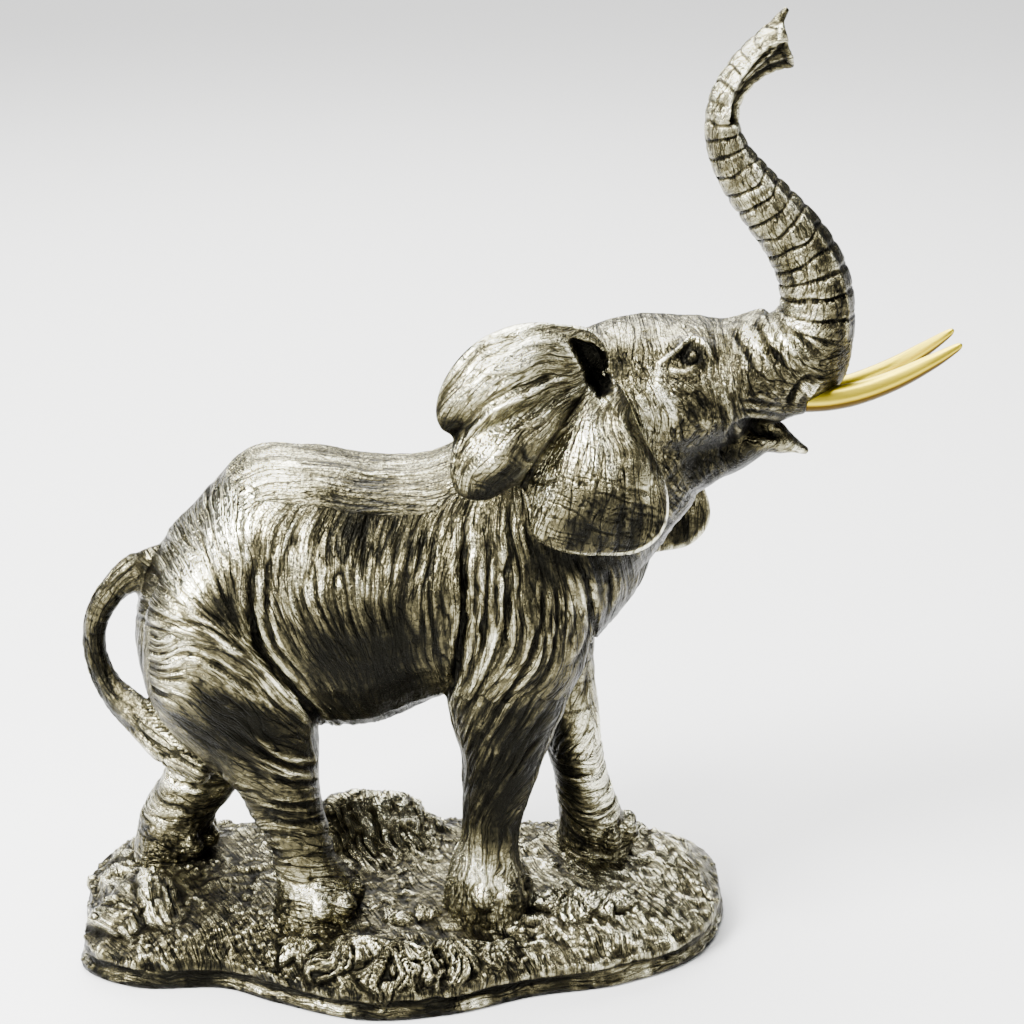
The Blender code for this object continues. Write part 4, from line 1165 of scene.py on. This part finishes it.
def antique_group(finish):
    """Rubbed metal: dark in hollows, bright on crests, strokes and creases along the flow, plus painted light
    and shade.
    """
    tree = bpy.data.node_groups.new("Antique patina", "ShaderNodeTree")
    for way, sockets in (("INPUT", (("Crest", "Float"), ("Wear_and_painted_light", "Float"), ("Flow", "Vector"),
                                    ("Position", "Vector"), ("Polish", "Float"))),
                         ("OUTPUT", (("Color", "Color"), ("Roughness", "Float"), ("Height", "Float")))):
        for name, kind in sockets:
            tree.interface.new_socket(name=name, in_out=way, socket_type="NodeSocket" + kind)
    inputs = node(tree, "NodeGroupInput", (-1800, 0)).outputs
    flow, position = inputs["Flow"], inputs["Position"]
    fine = noise_node(tree, (-800, -200), stretched(tree, (-1000, -200), flow, (1.3, 0.14, 0.14)))
    broad = stretched(tree, (-1000, 800), flow, (0.24, 0.035, 0.035))
    bands = noise_node(tree, (-800, 800), broad, detail=1.0, roughness=0.5)
    creases = line_layer(tree, (-1500, -700), flow, (0.5, 0.05, 0.05), 0.045)
    threads = line_layer(tree, (-1500, -1000), flow, (1.15, 0.13, 0.13), 0.04)
    spots = noise_node(tree, (-800, -450), position, scale=800.0, detail=2.0)
    patches = noise_node(tree, (-800, 550), position, scale=230.0, detail=2.0, roughness=0.5)
    clouds = noise_node(tree, (-800, 300), position, scale=55.0, detail=2.0, roughness=0.5)
    cells = node(tree, "ShaderNodeTexVoronoi", (-1300, -1300), {"Scale": 620.0, "Vector": position},
                 feature="DISTANCE_TO_EDGE")
    cracks = soft_step(tree, (-1070, -1300), cells.outputs["Distance"], 0.0, 0.12)
    uneven = maths(tree, (-620, 550), "MULTIPLY_ADD", patches, 1.6, 0.2)
    crest = maths(tree, (-500, 450), "MULTIPLY", inputs["Crest"], uneven)
    level = weighed(tree, (-600, 100), PATINA_START, (
        (crest, 0.7), (fine, 0.8), (spots, 0.35), (clouds, 0.5), (patches, 0.5), (bands, 1.3),
        (inputs["Wear_and_painted_light"], 1.0), (creases, 0.6), (threads, 0.4), (cracks, 0.16), (inputs["Polish"], 1.0)))
    factor = maths(tree, (400, 100), "MULTIPLY_ADD", level, 0.5, 0.45, clamp=True)
    colour = colour_ramp(tree, (550, 200), factor, [
        (0.0, finish.hollow_colour), (0.25, finish.dark_colour), (0.5, finish.middle_colour),
        (0.72, finish.bright_colour), (0.95, finish.crest_colour)])
    height = maths(tree, (100, -250), "MULTIPLY_ADD", spots, 0.3, fine)
    height = weighed(tree, (200, -250), height, ((creases, 0.5), (threads, 0.25), (cracks, 0.12)))
    node(tree, "NodeGroupOutput", (1200, 0), {
        "Color": colour, "Roughness": between(tree, (650, -100), factor, 0.36, 0.17), "Height": height})
    return tree


def new_shader(name, **values):
    """A new material, its node tree, and its shader with some of its sockets set."""
    material = bpy.data.materials.new(name)
    material.use_nodes = True
    shader = material.node_tree.nodes["Principled BSDF"]
    feed(material.node_tree, shader, values)
    return material, material.node_tree, shader


def bronze_material(name, group, polish, depth):
    """Antique bronze whose patina follows the carving of a piece."""
    material, tree, shader = new_shader(name, Metallic=1.0)
    shader.location = (400, 0)
    inputs = {"Position": node(tree, "ShaderNodeTexCoord", (-300, -350)).outputs["Object"], "Polish": polish}
    # the wear attribute carries painted light and shade as well as wear
    for row, (socket, field) in enumerate((("Crest", "Fac"), ("Wear_and_painted_light", "Fac"), ("Flow", "Vector"))):
        source = node(tree, "ShaderNodeAttribute", (-300, 200 - 180 * row), attribute_name=socket.lower())
        inputs[socket] = source.outputs[field]
    patina = node(tree, "ShaderNodeGroup", (0, 0), node_tree=group)
    feed(tree, patina, inputs)
    made = patina.outputs
    feed(tree, shader, {"Base Color": made["Color"], "Roughness": made["Roughness"],
                        "Normal": dented(tree, (200, -250), made["Height"], strength=0.8, distance=depth)})
    return material


def gold_material(finish):
    """Satin gold, with painted shade toward the underside, and brushed along the tusk."""
    material, tree, shader = new_shader("tusk gold", Metallic=1.0)
    place = node(tree, "ShaderNodeTexCoord", (-900, 0)).outputs["Object"]
    grain = noise_node(tree, (-500, 0), stretched(tree, (-700, 0), place, (60, 700, 260)))
    # painted shade: the underside attribute darkens the gold toward the tusk's flanks and underside
    under = node(tree, "ShaderNodeAttribute", (-500, 300), attribute_name="under").outputs["Fac"]
    shade = maths(tree, (-380, 200), "MULTIPLY_ADD", grain, 0.3, under)
    colour = colour_ramp(tree, (-250, 100), shade, [
        (0.2, finish.tusk_colour), (0.5, finish.tusk_flank_painted_shade), (0.85, finish.tusk_underside_painted_shade)])
    feed(tree, shader, {"Base Color": colour, "Roughness": between(tree, (-250, -150), grain, 0.4, 0.3),
                        "Normal": dented(tree, (-100, -350), grain, strength=0.16, distance=0.0002)})
    return material


# ---- settings -------------------------------------------------------------------------------------
def colour_property(name, description, default):
    """A colour that the panel shows."""
    return bpy.props.FloatVectorProperty(name=name, description=description, subtype="COLOR", size=3,
                                         min=0, max=1, default=default)


def grain_property(name, part, default):
    """The side of the small faces of a part, in millimetres."""
    return bpy.props.FloatProperty(name=name, description=f"Side of the {part}'s small faces, mm",
                                   default=default, min=0.3, max=3)


class StatueForm(bpy.types.PropertyGroup):
    hide_grain: grain_property("Hide grain", "hide", 0.48)
    ground_grain: grain_property("Ground grain", "ground", 0.6)
    most_triangles: bpy.props.IntProperty(name="Triangles", description="Most triangles in one piece",
                                          default=192000, min=1000)


class StatueFinish(bpy.types.PropertyGroup):
    hollow_colour: colour_property("Hollow", "Patina deep in the folds", (0.005, 0.0048, 0.0035))
    dark_colour: colour_property("Dark", "Patina in the shallow hollows", (0.0185, 0.0168, 0.0095))
    middle_colour: colour_property("Middle", "Bronze between hollows and crests", (0.084, 0.074, 0.039))
    bright_colour: colour_property("Bright", "Rubbed bronze", (0.295, 0.278, 0.176))
    crest_colour: colour_property("Crest", "Polished crests", (0.82, 0.795, 0.60))
    tusk_colour: colour_property("Tusk", "Gold of the tusks", (0.68, 0.53, 0.03))
    # painted shade of the tusks, on their flanks and undersides
    tusk_flank_painted_shade: colour_property("Tusk shade", "Gold on the tusks' flanks", (0.32, 0.215, 0.010))
    tusk_underside_painted_shade: colour_property("Tusk underside", "Gold under the tusks", (0.05, 0.03, 0.004))


class StatueStudio(bpy.types.PropertyGroup):
    target: bpy.props.FloatVectorProperty(name="Target", description="What the camera looks at",
                                          unit="LENGTH", size=3, default=(0.033, 0.0, 0.141))
    distance: bpy.props.FloatProperty(name="Distance", description="From the camera to its target",
                                      unit="LENGTH", default=0.8)
    elevation: bpy.props.FloatProperty(name="Elevation", description="Camera's angle above the table",
                                       unit="ROTATION", default=math.radians(20))
    lens: bpy.props.FloatProperty(name="Lens", description="Focal length in millimetres on a 36 mm film",
                                  default=93.76)
    floor_colour: colour_property("Floor", "Pale studio floor", (0.86, 0.86, 0.85))


# ---- the studio -----------------------------------------------------------------------------------
FLOOR_SIZE, FILM_WIDTH = 6, 36               # metres, and millimetres
# soft lights: name, place, whether it lights the statue (and not the floor under it), side, power
LIGHTS = [("key", (-0.7, -0.55, 0.85), True, 0.45, 60.0), ("top", (-0.05, 0.1, 1.3), True, 0.7, 34.0),
          ("back", (-0.15, 0.85, 0.95), True, 0.8, 22.0), ("front", (-0.45, -1.1, 0.6), True, 0.4, 12.0),
          ("side", (0.8, -0.5, 0.45), True, 0.25, 2.0), ("sweep", (0.0, 2.4, 1.7), False, 2.2, 60.0)]


def hold(name, data, place, ahead):
    """A lamp or a camera in the scene, at a place and turned to look ahead."""
    made = bpy.data.objects.new(name, data)
    made.location = place
    made.rotation_euler = ahead.to_track_quat("-Z", "Y").to_euler()
    bpy.context.scene.collection.objects.link(made)
    return made


# ---- operators ------------------------------------------------------------------------------------
class STATUE_OT_elephant(bpy.types.Operator):
    """Model the elephant's body and head"""
    bl_idname = "statue.elephant"
    bl_label = "Elephant"

    def execute(self, context):
        form = context.scene.statue_form
        for made in build_elephant(form.hide_grain, form.most_triangles):
            finish_piece(made, bpy.data.materials["hide bronze"], "bronze", CASTING)
        return {"FINISHED"}


class STATUE_OT_ears(bpy.types.Operator):
    """Model both ears"""
    bl_idname = "statue.ears"
    bl_label = "Ears"

    def execute(self, context):
        for name in EARS:
            finish_piece(build_ear(name), bpy.data.materials["hide bronze"], "bronze", CASTING)
        return {"FINISHED"}


class STATUE_OT_ground(bpy.types.Operator):
    """Model the rocky ground"""
    bl_idname = "statue.ground"
    bl_label = "Ground"

    def execute(self, context):
        form = context.scene.statue_form
        made = build_ground(form.ground_grain, form.most_triangles)
        finish_piece(made, bpy.data.materials["ground bronze"], "bronze", CASTING)
        return {"FINISHED"}


class STATUE_OT_tusks(bpy.types.Operator):
    """Model the two gold tusks"""
    bl_idname = "statue.tusks"
    bl_label = "Tusks"

    def execute(self, context):
        for node_name, hand in (("tusk_right", -1), ("tusk_left", 1)):
            made = build_tusk("gold_" + node_name, hand)
            finish_piece(made, bpy.data.materials["tusk gold"], "gold_tusk", node_name)
        return {"FINISHED"}


class STATUE_OT_finishes(bpy.types.Operator):
    """Make the materials of the statue"""
    bl_idname = "statue.finishes"
    bl_label = "Finishes"

    def execute(self, context):
        finish = context.scene.statue_finish
        group = antique_group(finish)
        bronze_material("hide bronze", group, polish=0.0, depth=0.0006)
        bronze_material("ground bronze", group, polish=-0.28, depth=0.0006)
        gold_material(finish)
        return {"FINISHED"}


class STATUE_OT_stage(bpy.types.Operator):
    """Set the pale floor, the soft lights and the camera"""
    bl_idname = "statue.stage"
    bl_label = "Stage"

    def execute(self, context):
        studio = context.scene.statue_studio
        deselect_all()
        bpy.ops.mesh.primitive_plane_add(size=FLOOR_SIZE, location=(0, 0, CAST_LOW.z))
        floor = context.object
        floor.name = "studio_floor"
        paint, tree, shader = new_shader("floor paint", Roughness=0.8)
        feed(tree, shader, {"Base Color": (*studio.floor_colour, 1)})
        floor.data.materials.append(paint)
        world = bpy.data.worlds.new("studio air")
        world.use_nodes = True
        feed(world.node_tree, world.node_tree.nodes["Background"],
             {"Color": (0.95, 0.97, 1.0, 1), "Strength": 0.16})
        context.scene.world = world
        target = Vector(studio.target)
        for name, place, on_statue, size, power in LIGHTS:
            lamp = bpy.data.lights.new(name, "AREA")
            lamp.size = size
            lamp.energy = power
            aim = target if on_statue else Vector((0, place[1], 0))
            hold(name, lamp, place, aim - Vector(place))
        camera = bpy.data.cameras.new("camera")
        camera.lens = studio.lens
        camera.sensor_width = FILM_WIDTH
        away = Vector((0, -math.cos(studio.elevation), math.sin(studio.elevation)))
        context.scene.camera = hold("camera", camera, target + away * studio.distance, -away)
        return {"FINISHED"}


class STATUE_PT_panel(bpy.types.Panel):
    """Buttons and settings of the statue"""
    bl_label = "Elephant Statue"
    bl_idname = "STATUE_PT_panel"
    bl_space_type = "VIEW_3D"
    bl_region_type = "UI"
    bl_category = "Statue"

    def draw(self, context):
        for step in STEPS:
            self.layout.operator(step.bl_idname)
        for settings in (context.scene.statue_form, context.scene.statue_finish, context.scene.statue_studio):
            box = self.layout.box()
            for name in settings.__annotations__:
                box.prop(settings, name)


STEPS = (STATUE_OT_finishes, STATUE_OT_elephant, STATUE_OT_ears, STATUE_OT_ground, STATUE_OT_tusks,
         STATUE_OT_stage)
SETTINGS = {"statue_form": StatueForm, "statue_finish": StatueFinish, "statue_studio": StatueStudio}


def register():
    for item in (*SETTINGS.values(), *STEPS, STATUE_PT_panel):
        bpy.utils.register_class(item)
    for name, kind in SETTINGS.items():
        setattr(bpy.types.Scene, name, bpy.props.PointerProperty(type=kind))


def unregister():
    for name in SETTINGS:
        delattr(bpy.types.Scene, name)
    for item in (STATUE_PT_panel, *reversed(STEPS), *SETTINGS.values()):
        bpy.utils.unregister_class(item)


def main():
    register()
    bpy.ops.statue.finishes()
    bpy.ops.statue.elephant()
    bpy.ops.statue.ears()
    bpy.ops.statue.ground()
    bpy.ops.statue.tusks()
    bpy.ops.statue.stage()
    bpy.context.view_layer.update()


if __name__ == "__main__":
    main()
